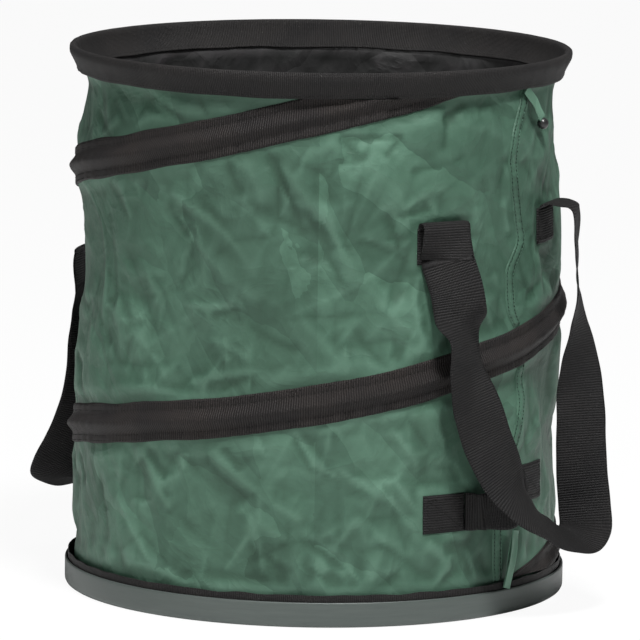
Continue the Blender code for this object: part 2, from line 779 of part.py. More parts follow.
def make_handle(side, webbing):
    middle, drop, strap_hang, strap_stand, route = handle_facts(side)
    front_pivot, rear_pivot = handle_pivots(side)
    chord = (rear_pivot - front_pivot).normalized()
    down = Vector((0, 0, -1))
    face = chord.cross(down)
    slit = GAP / 2
    parts = {}
    ends = []
    for label, sign, top, arch, pivot, shares in (
        ("front", -1, HANDLE_FRONT_TOP, HANDLE_FRONT_ARCH, front_pivot, FRONT_ARCH_SHARES),
        ("rear", 1, HANDLE_REAR_TOP, HANDLE_REAR_ARCH, rear_pivot, REAR_ARCH_SHARES),
    ):
        angle = middle + sign * HANDLE_HALF_SPAN
        half = math.degrees(HANDLE_WIDTH / 2 / RIDGE_RADIUS)
        top_level = top - drop
        parts["patch", label] = sewn_patch(
            f"{side}_handle_patch_{label}",
            (angle - half, angle + half),
            top_level - HANDLE_PATCH_HEIGHT,
            top_level,
            webbing,
        )
        radius = clear_radius(angle, top_level, top_level + arch) + GAP + WEBBING / 2
        start = place(angle, radius, top_level + GAP + slit)
        end = pivot + face * WEBBING / 2 - down * slit
        middles = []
        hints = []
        for out_share, rise_share in shares:
            point = start.lerp(end, out_share)
            point.z = start.z + arch * rise_share
            middles.append(point)
            hints.append(sideways(angle).lerp(chord, min(1.0, out_share * TURN_LEAD_SHARE)))
        middles[-1] = end
        middles = catmull(middles, 2)
        hints = catmull(hints, 2)
        parts["turn", label] = ribbon(
            f"{side}_handle_turn_{label}",
            framed(middles, hints, Vector((0, 0, 1)), down),
            HANDLE_WIDTH,
            WEBBING,
            webbing,
        )
        tail_top = end + down * 2 * slit
        tail_end = tail_top + down * (HANDLE_TAIL - 2 * slit)
        parts["tail", label] = ribbon(
            f"{side}_handle_tail_{label}",
            [(point, chord, face) for point in (tail_top, tail_top.lerp(tail_end, 0.5), tail_end)],
            HANDLE_WIDTH,
            WEBBING,
            webbing,
        )
        ends.append(tail_end + down * 2 * slit)
    middles, hints = [ends[0]], [chord]
    top_height = HANDLE_PIVOT - drop - HANDLE_TAIL
    for span, stand, hang, along, out, up in route:
        angle = middle + span * HANDLE_HALF_SPAN
        middles.append(place(angle, RIDGE_RADIUS + stand * strap_stand, top_height - hang * strap_hang))
        hints.append(sideways(middle) * along + outward(middle) * out + Vector((0, 0, up)))
    middles.append(ends[1])
    hints.append(-chord)
    parts["strap"] = ribbon(
        f"{side}_handle_strap",
        framed(catmull(middles, STRAP_STEPS), catmull(hints, STRAP_STEPS), down, -down),
        HANDLE_WIDTH,
        WEBBING,
        webbing,
    )
    swing = make_axis(f"{side}_handle_swing_axis", front_pivot.lerp(rear_pivot, 0.5))
    lift = make_axis(f"{side}_handle_lift_axis", front_pivot.lerp(rear_pivot, 0.5) + down * HANDLE_TAIL)
    carry(lift, swing)
    for label in ("front", "rear"):
        carry(parts["tail", label], swing)
    carry(parts["strap"], lift)
    describe(f"{side}_handle_swing", swing.location, -chord)
    describe(f"{side}_handle_lift", lift.matrix_world.translation, -chord)


def describe(name, point, direction):
    """Prints a joint's axis, for whoever sets the joint up."""
    print(name, [round(value, 6) for value in point], [round(value, 6) for value in direction])


def make_grip(side, webbing):
    turn, drop = (0.0, 0.0) if side == "right" else (LEFT_TURN, LEFT_GRIP_DROP)
    ends = []
    for label, patch, middle_height, end_angle in (
        ("front", GRIP_FRONT_PATCH, GRIP_FRONT_MIDDLE - drop, GRIP_FRONT_END + turn),
        ("rear", GRIP_REAR_PATCH, GRIP_REAR_MIDDLE - drop, GRIP_REAR_END + turn),
    ):
        edge = patch[1] if label == "front" else patch[0]
        sewn_patch(
            f"{side}_grip_patch_{label}",
            (patch[0] + turn, patch[1] + turn),
            middle_height - GRIP_WIDTH / 2,
            middle_height + GRIP_WIDTH / 2,
            webbing,
        )
        reach = GRIP_WIDTH / 2
        radius = clear_radius(edge + turn, middle_height - reach, middle_height + reach)
        start = place(edge + turn, radius + GAP + WEBBING / 2, middle_height)
        end = place(end_angle, RIDGE_RADIUS + GRIP_STAND, middle_height)
        ends.append((start, end))
    (front_start, front_end), (rear_start, rear_end) = ends
    chord = (rear_end - front_end).normalized()
    up = Vector((0, 0, 1))
    upright = (up - chord * chord.z).normalized()
    for label, start, end, along in (
        ("front", front_start, front_end, chord),
        ("rear", rear_start, rear_end, -chord),
    ):
        edge = (GRIP_FRONT_PATCH[1] if label == "front" else GRIP_REAR_PATCH[0]) + turn
        leave = sideways(edge) * along.dot(chord)
        first = start + leave * (GAP + WEBBING / 4)
        middles = [
            first,
            first.lerp(end, GRIP_BEND_SHARES[0]) + (leave - along) * WEBBING / 4,
            first.lerp(end, GRIP_BEND_SHARES[1]) + (along - leave) * WEBBING / 4,
            end,
        ]
        stations = framed(middles, [up, up, upright, upright], leave, along)
        ribbon(f"{side}_grip_end_{label}", stations, GRIP_WIDTH, WEBBING, webbing)
    slit = chord * GAP
    middles = []
    for step in range(GRIP_SECTIONS + 1):
        t = step / GRIP_SECTIONS
        point = (front_end + slit).lerp(rear_end - slit, t)
        rise = math.sin(math.pi * t) ** 2
        turn_here = outward((GRIP_FRONT_END + GRIP_REAR_END) / 2 + turn)
        middles.append(point + turn_here * GRIP_BULGE * rise - up * GRIP_SAG * rise)
    grip = ribbon(
        f"{side}_grip_strap",
        framed(middles, [upright] * len(middles), chord, chord),
        GRIP_WIDTH,
        WEBBING,
        webbing,
    )
    axis = make_axis(f"{side}_grip_swing_axis", front_end.lerp(rear_end, 0.5))
    carry(grip, axis)
    describe(f"{side}_grip_swing", axis.location, -chord)


def make_toggle(side, angle, fabric, plastic):
    """A strip sewn under the rim band, leaning out over the ball that rests on the wall."""
    top = RIM_BOTTOM - GAP
    low = top - TOGGLE_STRIP_LENGTH
    ball_height = low - GAP - TOGGLE_BALL_RADIUS
    ball_reach = clear_radius(angle, ball_height - TOGGLE_BALL_RADIUS, low) + TOGGLE_BALL_RADIUS + 2 * GAP
    inner = ridge_radius(RIM_BOTTOM) + WIRE_LIFT + WIRE_RADIUS + GAP
    bm = bmesh.new()
    verts = []
    for level, middle in ((low, ball_reach), (top, inner + TOGGLE_STRIP / 2)):
        for out, across in ((-0.5, -0.5), (-0.5, 0.5), (0.5, 0.5), (0.5, -0.5)):
            corner = place(angle, middle + TOGGLE_STRIP * out, level)
            verts.append(bm.verts.new(corner + sideways(angle) * TOGGLE_STRIP_WIDTH * across))
    box_faces(bm, verts)
    strip = make_object(f"{side}_toggle_strip", bm, fabric)
    bm = bmesh.new()
    ball_place = Matrix.Translation(place(angle, ball_reach, ball_height))
    bmesh.ops.create_icosphere(bm, subdivisions=2, radius=TOGGLE_BALL_RADIUS, matrix=ball_place)
    ball = make_object(f"{side}_toggle_ball", bm, plastic, 60.0)
    axis = make_axis(f"{side}_toggle_axis", place(angle, inner + TOGGLE_STRIP, top))
    carry(strip, axis)
    carry(ball, axis)
    describe(f"{side}_toggle_swing", axis.location, -sideways(angle))


def box_faces(bm, verts):
    for corners in ((0, 1, 2, 3), (7, 6, 5, 4), (0, 4, 5, 1), (1, 5, 6, 2), (2, 6, 7, 3), (3, 7, 4, 0)):
        bm.faces.new([verts[corner] for corner in corners])


def make_loop(side, angle, fabric):
    """A strip folded double, standing on the pan's lip against the hem."""
    low = PAN_HEIGHT + GAP
    inner = HEM_OUTER + GAP
    depth = 2 * LOOP_STRIP + LOOP_SPACE
    bm = bmesh.new()
    outline = (
        (0.0, 0.0),
        (LOOP_STRIP, 0.0),
        (LOOP_STRIP, LOOP_HEIGHT - LOOP_STRIP),
        (depth - LOOP_STRIP, LOOP_HEIGHT - LOOP_STRIP),
        (depth - LOOP_STRIP, 0.0),
        (depth, 0.0),
        (depth, LOOP_HEIGHT - LOOP_STRIP / 2),
        (depth - LOOP_STRIP / 2, LOOP_HEIGHT),
        (LOOP_STRIP / 2, LOOP_HEIGHT),
        (0.0, LOOP_HEIGHT - LOOP_STRIP / 2),
    )
    face = []
    for out, rise in outline:
        shift = LOOP_LEAN * (rise / LOOP_HEIGHT)
        middle = place(angle, inner + out - shift, low + rise)
        face.append(bm.verts.new(middle - sideways(angle) * LOOP_WIDTH / 2))
    first = bm.faces.new(face)
    pushed = bmesh.ops.extrude_face_region(bm, geom=[first])
    moved = [item for item in pushed["geom"] if isinstance(item, bmesh.types.BMVert)]
    bmesh.ops.translate(bm, verts=moved, vec=sideways(angle) * LOOP_WIDTH)
    made = make_object(f"{side}_base_loop", bm, fabric)
    axis = make_axis(f"{side}_base_loop_axis", place(angle, inner + depth, low))
    carry(made, axis)
    describe(f"{side}_loop_lean", axis.location, sideways(angle))


def main():
    clear_scene()
    green = make_material("green_polyester", (0.070, 0.160, 0.100), 0.55)
    black_tape = make_material("black_tape", (0.020, 0.018, 0.020), 0.75)
    webbing = make_material("black_webbing", (0.022, 0.020, 0.021), 0.70)
    steel = make_material("spring_steel", (0.45, 0.45, 0.46), 0.35, 1.0)
    grey_plastic = make_material("pan_plastic", (0.070, 0.090, 0.085), 0.50)
    black_plastic = make_material("toggle_plastic", (0.015, 0.015, 0.016), 0.40)
    loop_green = make_material("loop_ribbon", (0.090, 0.200, 0.130), 0.55)

    pan = make_pan(grey_plastic)
    panel = make_floor_panel(green)
    cutter = make_rivet_cutter()
    cut_with(pan, cutter)
    cut_with(panel, cutter)
    for index, middle in enumerate(rivet_places(), start=1):
        make_rivet(index, middle, steel)
    make_hem(black_tape)
    make_wall(green)
    make_tape(black_tape)

    coil = coil_points()
    wire_tube("spring_coil", coil, False, steel)
    print("least gap of the coil to itself, mm:", round(least_self_gap(coil) * 1000, 2))
    base_ring_radius = ridge_radius(COIL_LOW) + WIRE_LIFT
    wire_tube("base_ring", ring_points(base_ring_radius, BASE_RING_HEIGHT), True, steel)
    make_ferrule("base_ferrule", round(COIL_START / SECTOR), base_ring_radius, BASE_RING_HEIGHT, 1, steel)

    rim_axis = make_axis("rim_axis", Vector((0, 0, RIM_BOTTOM)))
    rim_ring_radius = ridge_radius(COIL_HIGH) + WIRE_LIFT
    rim_sector = round(COIL_END / SECTOR) + 1
    rim_pieces = (
        make_rim_band(black_tape),
        wire_tube("rim_ring", ring_points(rim_ring_radius, RIM_RING_HEIGHT), True, steel),
        make_ferrule("rim_ferrule", rim_sector, rim_ring_radius, RIM_RING_HEIGHT, -1, steel),
    )
    for piece in rim_pieces:
        carry(piece, rim_axis)

    for side, toggle_angle, loop_angle in zip(("right", "left"), TOGGLE_ANGLES, LOOP_ANGLES):
        make_toggle(side, toggle_angle, loop_green, black_plastic)
        make_loop(side, loop_angle, loop_green)
        make_handle(side, webbing)
        make_grip(side, webbing)


main()
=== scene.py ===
"""Looks of the pop-up leaf bag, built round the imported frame.

Metres, +Z up. Angles are in degrees round +Z, counted from the front (-Y) towards +X.
"""

import math

import bmesh
import bpy
import numpy as np
from mathutils import Matrix, Vector, geometry


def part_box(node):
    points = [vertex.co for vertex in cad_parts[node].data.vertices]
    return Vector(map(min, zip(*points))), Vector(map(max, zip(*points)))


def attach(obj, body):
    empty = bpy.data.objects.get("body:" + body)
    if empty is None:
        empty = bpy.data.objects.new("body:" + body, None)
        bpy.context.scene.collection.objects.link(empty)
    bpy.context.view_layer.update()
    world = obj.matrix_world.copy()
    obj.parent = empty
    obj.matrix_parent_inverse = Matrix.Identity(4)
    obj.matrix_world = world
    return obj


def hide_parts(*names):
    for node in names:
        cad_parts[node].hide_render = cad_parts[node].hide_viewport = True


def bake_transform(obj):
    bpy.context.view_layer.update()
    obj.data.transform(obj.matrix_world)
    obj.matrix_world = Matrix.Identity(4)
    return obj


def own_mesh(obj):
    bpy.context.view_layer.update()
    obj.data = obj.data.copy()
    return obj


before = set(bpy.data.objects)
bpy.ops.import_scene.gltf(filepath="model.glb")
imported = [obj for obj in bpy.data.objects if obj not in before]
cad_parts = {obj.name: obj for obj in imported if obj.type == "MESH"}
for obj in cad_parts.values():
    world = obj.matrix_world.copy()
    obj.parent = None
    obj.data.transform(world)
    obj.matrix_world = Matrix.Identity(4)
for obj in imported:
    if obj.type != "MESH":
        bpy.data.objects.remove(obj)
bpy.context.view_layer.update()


def height_span(node):
    """A frame node's lowest and highest point, to a tenth of a millimetre."""
    return [round(corner[2], 4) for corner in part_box(node)]


# Sizes read off the frame
WALL_BOTTOM, WALL_TOP = height_span("body_wall")
HEM_TOP = height_span("base_hem")[1]
RIM_BOTTOM = height_span("rim_band")[0]

# Sizes repeated from the part's source
RIDGE_RADIUS, BASE_RADIUS = 0.2325, 0.2310
NECK_DEPTH, NECK_START, NECK_HEIGHT, FLARE_SLOPE = 0.0080, 0.405, 0.490, 0.3912
WAIST_DEPTH, WAIST_SPACING = 0.0065, 0.262
WIRE_RADIUS, WIRE_LIFT = 0.0015, 0.0027
GAP = 0.0003
WEBBING = 0.0016
HANDLE_WIDTH, GRIP_WIDTH, RIBBON_WIDTH, TAPE_WIDTH = 0.050, 0.036, 0.010, 0.038
RIVETS, RIVET_CIRCLE, FLOOR_RADIUS = 6, 0.160, 0.2278

# Profiles are pairs of a radius and a height, in tenths of a millimetre
TENTHS = 10000

# The coil's angle and its share of the climb; it meets the rim ring before its wire ends
COIL_CLIMB = (
    (-315, 0.0), (-285, 0.052), (-180, 0.182), (-70, 0.313), (0, 0.403),
    (68, 0.509), (180, 0.658), (308, 0.845), (360, 0.945), (390, 1.0),
)
COIL_START, COIL_TOP, COIL_END = -315, 390, 405


# Directions round the bag, for single angles or arrays of them
def outward(angle):
    turn = np.radians(angle)
    return np.stack([np.sin(turn), -np.cos(turn), np.zeros_like(turn)], -1)


def sideways(angle):
    turn = np.radians(angle)
    return np.stack([np.cos(turn), np.sin(turn), np.zeros_like(turn)], -1)


def place(angle, radius, height):
    angle, radius, height = np.broadcast_arrays(
        np.asarray(angle, float), np.asarray(radius, float), np.asarray(height, float)
    )
    point = outward(angle) * radius[..., None]
    point[..., 2] = height
    return point


def unit(vectors):
    """Rows of vectors at length one."""
    return vectors / np.linalg.norm(vectors, axis=-1, keepdims=True)


def turned_from(phi, middle):
    """Angles counted from a middle one, the short way round."""
    return np.mod(phi - middle + 180, 360) - 180


def smooth_step(value, start, end):
    share = np.clip((value - start) / (end - start), 0.0, 1.0)
    return share * share * (3.0 - 2.0 * share)


def coil_height(angle):
    """Height of the coil's line at each angle, which counts on through its two turns."""
    angle = np.asarray(angle, float)
    xs = np.array([station[0] for station in COIL_CLIMB], float)
    ys = np.array([station[1] for station in COIL_CLIMB], float)
    slopes = np.empty_like(ys)
    slopes[1:-1] = (ys[2:] - ys[:-2]) / (xs[2:] - xs[:-2])
    slopes[0] = (ys[1] - ys[0]) / (xs[1] - xs[0])
    slopes[-1] = (ys[-1] - ys[-2]) / (xs[-1] - xs[-2])
    index = np.clip(np.searchsorted(xs, angle, side="right") - 1, 0, len(xs) - 2)
    span = xs[index + 1] - xs[index]
    t = (angle - xs[index]) / span
    share = (
        (1 + 2 * t) * (1 - t) ** 2 * ys[index]
        + t * (1 - t) ** 2 * span * slopes[index]
        + t * t * (3 - 2 * t) * ys[index + 1]
        + t * t * (t - 1) * span * slopes[index + 1]
    )
    share = np.where(angle > xs[-1], ys[-1] + (angle - xs[-1]) * slopes[-1], share)
    share = np.where(angle < xs[0], ys[0] + (angle - xs[0]) * slopes[0], share)
    return WALL_BOTTOM + (WALL_TOP - WALL_BOTTOM) * share


def ridge_radius(height):
    height = np.asarray(height, float)
    radius = BASE_RADIUS + (RIDGE_RADIUS - BASE_RADIUS) * smooth_step(height, 0.030, 0.100)
    radius = radius - NECK_DEPTH * smooth_step(height, NECK_START, NECK_HEIGHT)
    return radius + np.maximum(0.0, height - NECK_HEIGHT) * FLARE_SLOPE


def coil_lines(phi):
    """The heights at which the coil crosses each angle, from the bottom up."""
    phi = np.mod(np.asarray(phi, float), 360.0)
    lines = []
    for turn in (phi - 360, phi, phi + 360):
        line = coil_height(np.clip(turn, COIL_START, COIL_TOP))
        line = np.where(turn < COIL_START, WALL_BOTTOM, line)
        line = np.where(turn > COIL_TOP, WALL_TOP, line)
        lines.append(np.clip(line, WALL_BOTTOM, WALL_TOP))
    return lines


def wall_radius(phi, height):
    """The drawn cloth's outer radius: out at the coil and the rings, in between them."""
    phi, height = np.broadcast_arrays(np.asarray(phi, float), np.asarray(height, float))
    low = np.full(height.shape, WALL_BOTTOM)
    high = np.full(height.shape, WALL_TOP)
    for line in coil_lines(phi):
        low = np.where(line <= height, np.maximum(low, line), low)
        high = np.where(line > height, np.minimum(high, line), high)
    span = np.maximum(high - low, 1e-6)
    t = np.clip((height - low) / span, 0, 1)
    depth = WAIST_DEPTH * np.minimum(1.0, span / WAIST_SPACING) ** 2
    free = smooth_step(height, HEM_TOP, 0.100) * smooth_step(height, RIM_BOTTOM, NECK_START)
    return ridge_radius(height) - depth * free * 4 * t * (1 - t)


def coil_distance(phi, height):
    """Distance up or down to the nearest pass of the coil."""
    phi, height = np.broadcast_arrays(np.asarray(phi, float), np.asarray(height, float))
    nearest = np.full(height.shape, 1.0)
    turns = np.mod(phi, 360.0)
    for turn in (turns - 360, turns, turns + 360):
        inside = (turn >= COIL_START - 5) & (turn <= COIL_END + 5)
        gap = np.abs(height - coil_height(turn))
        nearest = np.where(inside, np.minimum(nearest, gap), nearest)
    return nearest


# Meshes
def from_grid(name, points, uv, material, closed_u=False, closed_v=False, flip=False):
    """A mesh of quads from rows of points. A closed way's uv has one more row or column."""
    rows, columns = points.shape[:2]
    i = np.arange(rows if closed_u else rows - 1)
    j = np.arange(columns if closed_v else columns - 1)
    i, j = np.meshgrid(i, j, indexing="ij")
    i, j = i.ravel(), j.ravel()
    corners = [(i, j), (i + 1, j), (i + 1, j + 1), (i, j + 1)]
    if flip:
        corners.reverse()
    faces = np.stack([(a % rows) * columns + (b % columns) for a, b in corners], -1)
    coords = np.stack([uv[a, b] for a, b in corners], 1).reshape(-1, 2)
    return from_faces(name, points.reshape(-1, 3), faces, coords, material)


def from_faces(name, verts, faces, coords, material):
    """A smooth mesh of faces with equally many corners, and each corner's place on the flat cut."""
    mesh = bpy.data.meshes.new(name)
    faces = np.asarray(faces, np.int32)
    mesh.vertices.add(len(verts))
    mesh.vertices.foreach_set("co", np.asarray(verts, np.float32).ravel())
    mesh.loops.add(faces.size)
    mesh.loops.foreach_set("vertex_index", faces.ravel())
    mesh.polygons.add(len(faces))
    starts = np.arange(0, faces.size, faces.shape[1], dtype=np.int32)
    mesh.polygons.foreach_set("loop_start", starts)
    mesh.update(calc_edges=True)
    mesh.validate()
    layer = mesh.uv_layers.new(name="Cut")
    layer.data.foreach_set("uv", np.asarray(coords, np.float32).ravel())
    mesh.shade_smooth()
    mesh.materials.append(material)
    return show(name, mesh)


def show(name, data):
    """A new object in the scene."""
    made = bpy.data.objects.new(name, data)
    bpy.context.scene.collection.objects.link(made)
    return made


def mesh_of(name, bm):
    """A mesh from a finished bmesh."""
    mesh = bpy.data.meshes.new(name)
    bm.to_mesh(mesh)
    bm.free()
    return mesh


def opened(made):
    """A piece's mesh as a bmesh."""
    bm = bmesh.new()
    bm.from_mesh(made.data)
    return bm


def written(bm, made):
    """Writes a bmesh back to its piece, shaded smooth."""
    bm.to_mesh(made.data)
    bm.free()
    made.data.shade_smooth()


def join(name, objects):
    """One piece of several."""
    bm = bmesh.new()
    for item in objects:
        bm.from_mesh(item.data)
    mesh = mesh_of(name, bm)
    for material in objects[0].data.materials:
        mesh.materials.append(material)
    for item in objects:
        bpy.data.objects.remove(item, do_unlink=True)
    return show(name, mesh)


def running_length(points):
    """Length along a row of points, from 0."""
    return np.concatenate([[0], np.cumsum(np.linalg.norm(np.diff(points, axis=0), axis=1))])


def lathe(name, profile, material, segments, wobble=None, closed=True):
    """Turns a profile of radius and height round +Z. The uv is length round and length along."""
    profile = np.asarray(profile, float)
    angle = np.arange(segments) * 360.0 / segments
    along = running_length(np.concatenate([profile, profile[:1]]) if closed else profile)
    points = place(angle[:, None], profile[None, :, 0], profile[None, :, 1])
    if wobble is not None:
        points = wobble(points, angle[:, None], profile[None])
    uv = grid_of(np.arange(segments + 1) * (2 * math.pi * RIDGE_RADIUS / segments), along)
    return from_grid(name, points, uv, material, closed_u=True, closed_v=closed)


def grid_of(first, second):
    """Every pair of two rows of values."""
    return np.stack(np.meshgrid(first, second, indexing="ij"), -1)


def waves(angle, seed, count=9, low=2, high=40):
    """A smooth closed wobble between about -1 and 1 round the bag."""
    source = np.random.default_rng(seed)
    total = np.zeros_like(np.asarray(angle, float))
    for _ in range(count):
        total = total + np.sin(np.radians(angle) * source.integers(low, high) + source.uniform(0, 6.28))
    return total / math.sqrt(count)


def rounded(points, radius, steps):
    """A closed outline whose corners are rounded off."""
    points = [np.array(p, float) for p in points]
    outline = []
    for before, corner, after in zip(points[-1:] + points[:-1], points, points[1:] + points[:1]):
        a, b = before - corner, after - corner
        reach = min(radius, np.linalg.norm(a) * 0.45, np.linalg.norm(b) * 0.45)
        a, b = corner + unit(a) * reach, corner + unit(b) * reach
        for t in np.linspace(0, 1, steps + 1):
            outline.append((1 - t) ** 2 * a + 2 * t * (1 - t) * corner + t * t * b)
    return np.array(outline)


def smooth_route(points, spacing):
    """An evenly stepped smooth curve through rows of values; the first three columns are places."""
    points = np.asarray(points, float)
    padded = np.concatenate([2 * points[:1] - points[1:2], points, 2 * points[-1:] - points[-2:-1]])
    dense = []
    for a, b, c, d in zip(padded, padded[1:], padded[2:], padded[3:]):
        t = np.linspace(0, 1, 24, endpoint=False)[:, None]
        dense.append(
            b
            + (c - a) * (t / 2)
            + (2 * a - 5 * b + 4 * c - d) * (t * t / 2)
            + (3 * b - a - 3 * c + d) * (t**3 / 2)
        )
    dense = np.concatenate(dense + [points[-1:]])
    length = running_length(dense[:, :3])
    count = max(4, int(round(length[-1] / spacing)) + 1)
    stops = np.linspace(0, length[-1], count)
    return np.stack([np.interp(stops, length, dense[:, k]) for k in range(dense.shape[1])], -1), stops


def band(name, route, width, material, spacing, start=None, end=None, thick=WEBBING, cup=0.0, seed=1):
    """Webbing swept along a route whose rows are a place and a width direction."""
    route, stops = smooth_route(route, spacing)
    spots, hint = route[:, :3], route[:, 3:6]
    along = np.gradient(spots, axis=0)
    if start is not None:
        along[0] = start
    if end is not None:
        along[-1] = end
    along = unit(along)
    side = unit(hint - along * (hint * along).sum(1, keepdims=True))
    face = np.cross(side, along)
    across = np.linspace(-0.5, 0.5, 15)
    edge = np.sqrt(np.clip(1 - (np.abs(across) * 2) ** 14, 0.16, 1))
    upper = list(zip(across, edge / 2))
    outline = np.array(upper + [(a, -b) for a, b in upper[::-1]])
    phase = np.random.default_rng(seed).uniform(0, 6.28, 4)
    flutter = sum(np.sin(stops * rate + p) for rate, p in zip((35, 61, 97, 160), phase)) * 0.00022
    taper = np.clip(np.minimum(stops, stops[-1] - stops) / 0.02, 0, 1)
    outwards = (2 * outline[None, :, 0]) ** 2
    bow = cup * taper[:, None] * (1 - outwards)
    roll = flutter[:, None] * taper[:, None] * outwards * 2
    points = (
        spots[:, None]
        + side[:, None] * (outline[None, :, :1] * width)
        + face[:, None] * (outline[None, :, 1:] * thick + (bow + roll)[..., None])
    )
    uv = grid_of(stops, np.concatenate([outline[:, 0], outline[:1, 0]]) * width)
    made = from_grid(name, points, uv, material, closed_v=True)
    close_holes(made)
    return made


def open_edges(bm):
    return [edge for edge in bm.edges if len(edge.link_faces) == 1]


def close_holes(made):
    bm = opened(made)
    bmesh.ops.holes_fill(bm, edges=open_edges(bm))
    bmesh.ops.recalc_face_normals(bm, faces=bm.faces)
    written(bm, made)


def stitches(name, rows, material, pitch=0.0036, length=0.0026, radius=0.00042):
    """Thread stitches along rows of (points, normals), each one a small spindle sunk at its ends."""
    verts, faces = [], []
    for points, normals in rows:
        points, normals = np.asarray(points, float), np.asarray(normals, float)
        along = running_length(points)
        count = max(1, int(along[-1] / pitch))
        stops = (np.arange(count) + 0.5) * along[-1] / count

        def at(places, values):
            return np.stack([np.interp(places, along, values[:, k]) for k in range(3)], -1)

        centre, normal = at(stops, points), unit(at(stops, normals))
        tangent = unit(at(stops + 0.0006, points) - at(stops - 0.0006, points))
        across = np.cross(tangent, normal)
        sink = normal * radius * 0.9
        corners = [
            centre - tangent * length / 2 - sink,
            centre + across * radius,
            centre + normal * radius,
            centre - across * radius,
            centre - normal * radius,
            centre + tangent * length / 2 - sink,
        ]
        first = sum(len(v) for v in verts)
        verts.append(np.stack(corners, 1).reshape(-1, 3))
        for base in range(first, first + 6 * count, 6):
            for a, b in ((1, 2), (2, 3), (3, 4), (4, 1)):
                faces.append((base, base + b, base + a))
                faces.append((base + 5, base + a, base + b))
    return from_faces(name, np.concatenate(verts), faces, np.zeros((len(faces) * 3, 2)), material)


# Materials
BLACK, WHITE = (0.0, 0.0, 0.0), (1.0, 1.0, 1.0)

# A mix node's sockets by number, because those for colours and for vectors have the same names
FIRST_COLOUR, SECOND_COLOUR, MIXED_COLOUR = 6, 7, 2
FIRST_VECTOR, SECOND_VECTOR, MIXED_VECTOR = 4, 5, 1

# A wave texture of scale 1 repeats after this length
WAVE_LENGTH = 0.314


def material_of(name):
    material = bpy.data.materials.new(name)
    material.use_nodes = True
    tree = material.node_tree
    return material, tree, tree.nodes["Principled BSDF"]


def set_values(node, values):
    for key, value in values.items():
        node.inputs[key].default_value = value


def add(tree, kind, values=None, **settings):
    made = tree.nodes.new(kind)
    for key, value in settings.items():
        setattr(made, key, value)
    set_values(made, values or {})
    return made


def link(tree, source, output, target, entry):
    tree.links.new(source.outputs[output], target.inputs[entry])


def ramp(tree, source, output, stops):
    """Colours picked by what another node puts out."""
    made = add(tree, "ShaderNodeValToRGB")
    elements = made.color_ramp.elements
    while len(elements) < len(stops):
        elements.new(0.5)
    for element, (position, colour) in zip(elements, stops):
        element.position = position
        element.color = (*colour, 1.0)
    link(tree, source, output, made, "Fac")
    return made


def textured(tree, kind, source, output, values, **settings):
    """A texture laid out by another node's coordinates."""
    made = add(tree, kind, values, **settings)
    link(tree, source, output, made, "Vector")
    return made


def noise(tree, spot, values, **settings):
    return textured(tree, "ShaderNodeTexNoise", spot, "Object", values, **settings)


def bump(tree, source, output, strength, distance, under=None):
    """Relief from a height, over the relief of another bump."""
    made = add(tree, "ShaderNodeBump", {"Strength": strength, "Distance": distance})
    link(tree, source, output, made, "Height")
    if under:
        link(tree, under, "Normal", made, "Normal")
    return made


def mixed(tree, kind, first, output, second):
    """A colour multiplied by, or added to, one that comes from a ramp."""
    made = add(tree, "ShaderNodeMix", {"Factor": 1.0}, data_type="RGBA", blend_type=kind)
    link(tree, first, output, made, FIRST_COLOUR)
    link(tree, second, "Color", made, SECOND_COLOUR)
    return made


def vary_roughness(tree, shader, source, low, high):
    spread = add(tree, "ShaderNodeMapRange", {"To Min": low, "To Max": high})
    link(tree, source, "Fac", spread, "Value")
    link(tree, spread, 0, shader, "Roughness")


def rib_group():
    """Ribs along one way of the cut and finer threads along the other, as one height."""
    group = bpy.data.node_groups.new("Woven ribs", "ShaderNodeTree")
    face = group.interface
    face.new_socket(name="Vector", in_out="INPUT", socket_type="NodeSocketVector")
    for name in ("Rib scale", "Thread scale"):
        face.new_socket(name=name, in_out="INPUT", socket_type="NodeSocketFloat")
    face.new_socket(name="Height", in_out="OUTPUT", socket_type="NodeSocketFloat")
    entry, leave = group.nodes.new("NodeGroupInput"), group.nodes.new("NodeGroupOutput")
    rib_values = {"Distortion": 0.6, "Detail": 1.0, "Detail Scale": 2.0}
    thread_values = {"Distortion": 0.4, "Detail": 1.0}
    ribs = textured(group, "ShaderNodeTexWave", entry, "Vector", rib_values, bands_direction="X")
    threads = textured(group, "ShaderNodeTexWave", entry, "Vector", thread_values, bands_direction="Y")
    link(group, entry, "Rib scale", ribs, "Scale")
    link(group, entry, "Thread scale", threads, "Scale")
    mix = add(group, "ShaderNodeMath", {1: 0.45}, operation="MULTIPLY_ADD")
    link(group, threads, "Fac", mix, 0)
    link(group, ribs, "Fac", mix, 2)
    link(group, mix, 0, leave, "Height")
    return group


RIBS = rib_group()


def woven(tree, rib_pitch, thread_pitch):
    """The flat cut's coordinates and the weave on it."""
    cut = add(tree, "ShaderNodeUVMap", uv_map="Cut")
    scales = {"Rib scale": WAVE_LENGTH / rib_pitch, "Thread scale": WAVE_LENGTH / thread_pitch}
    return cut, textured(tree, "ShaderNodeGroup", cut, "UV", scales, node_tree=RIBS)


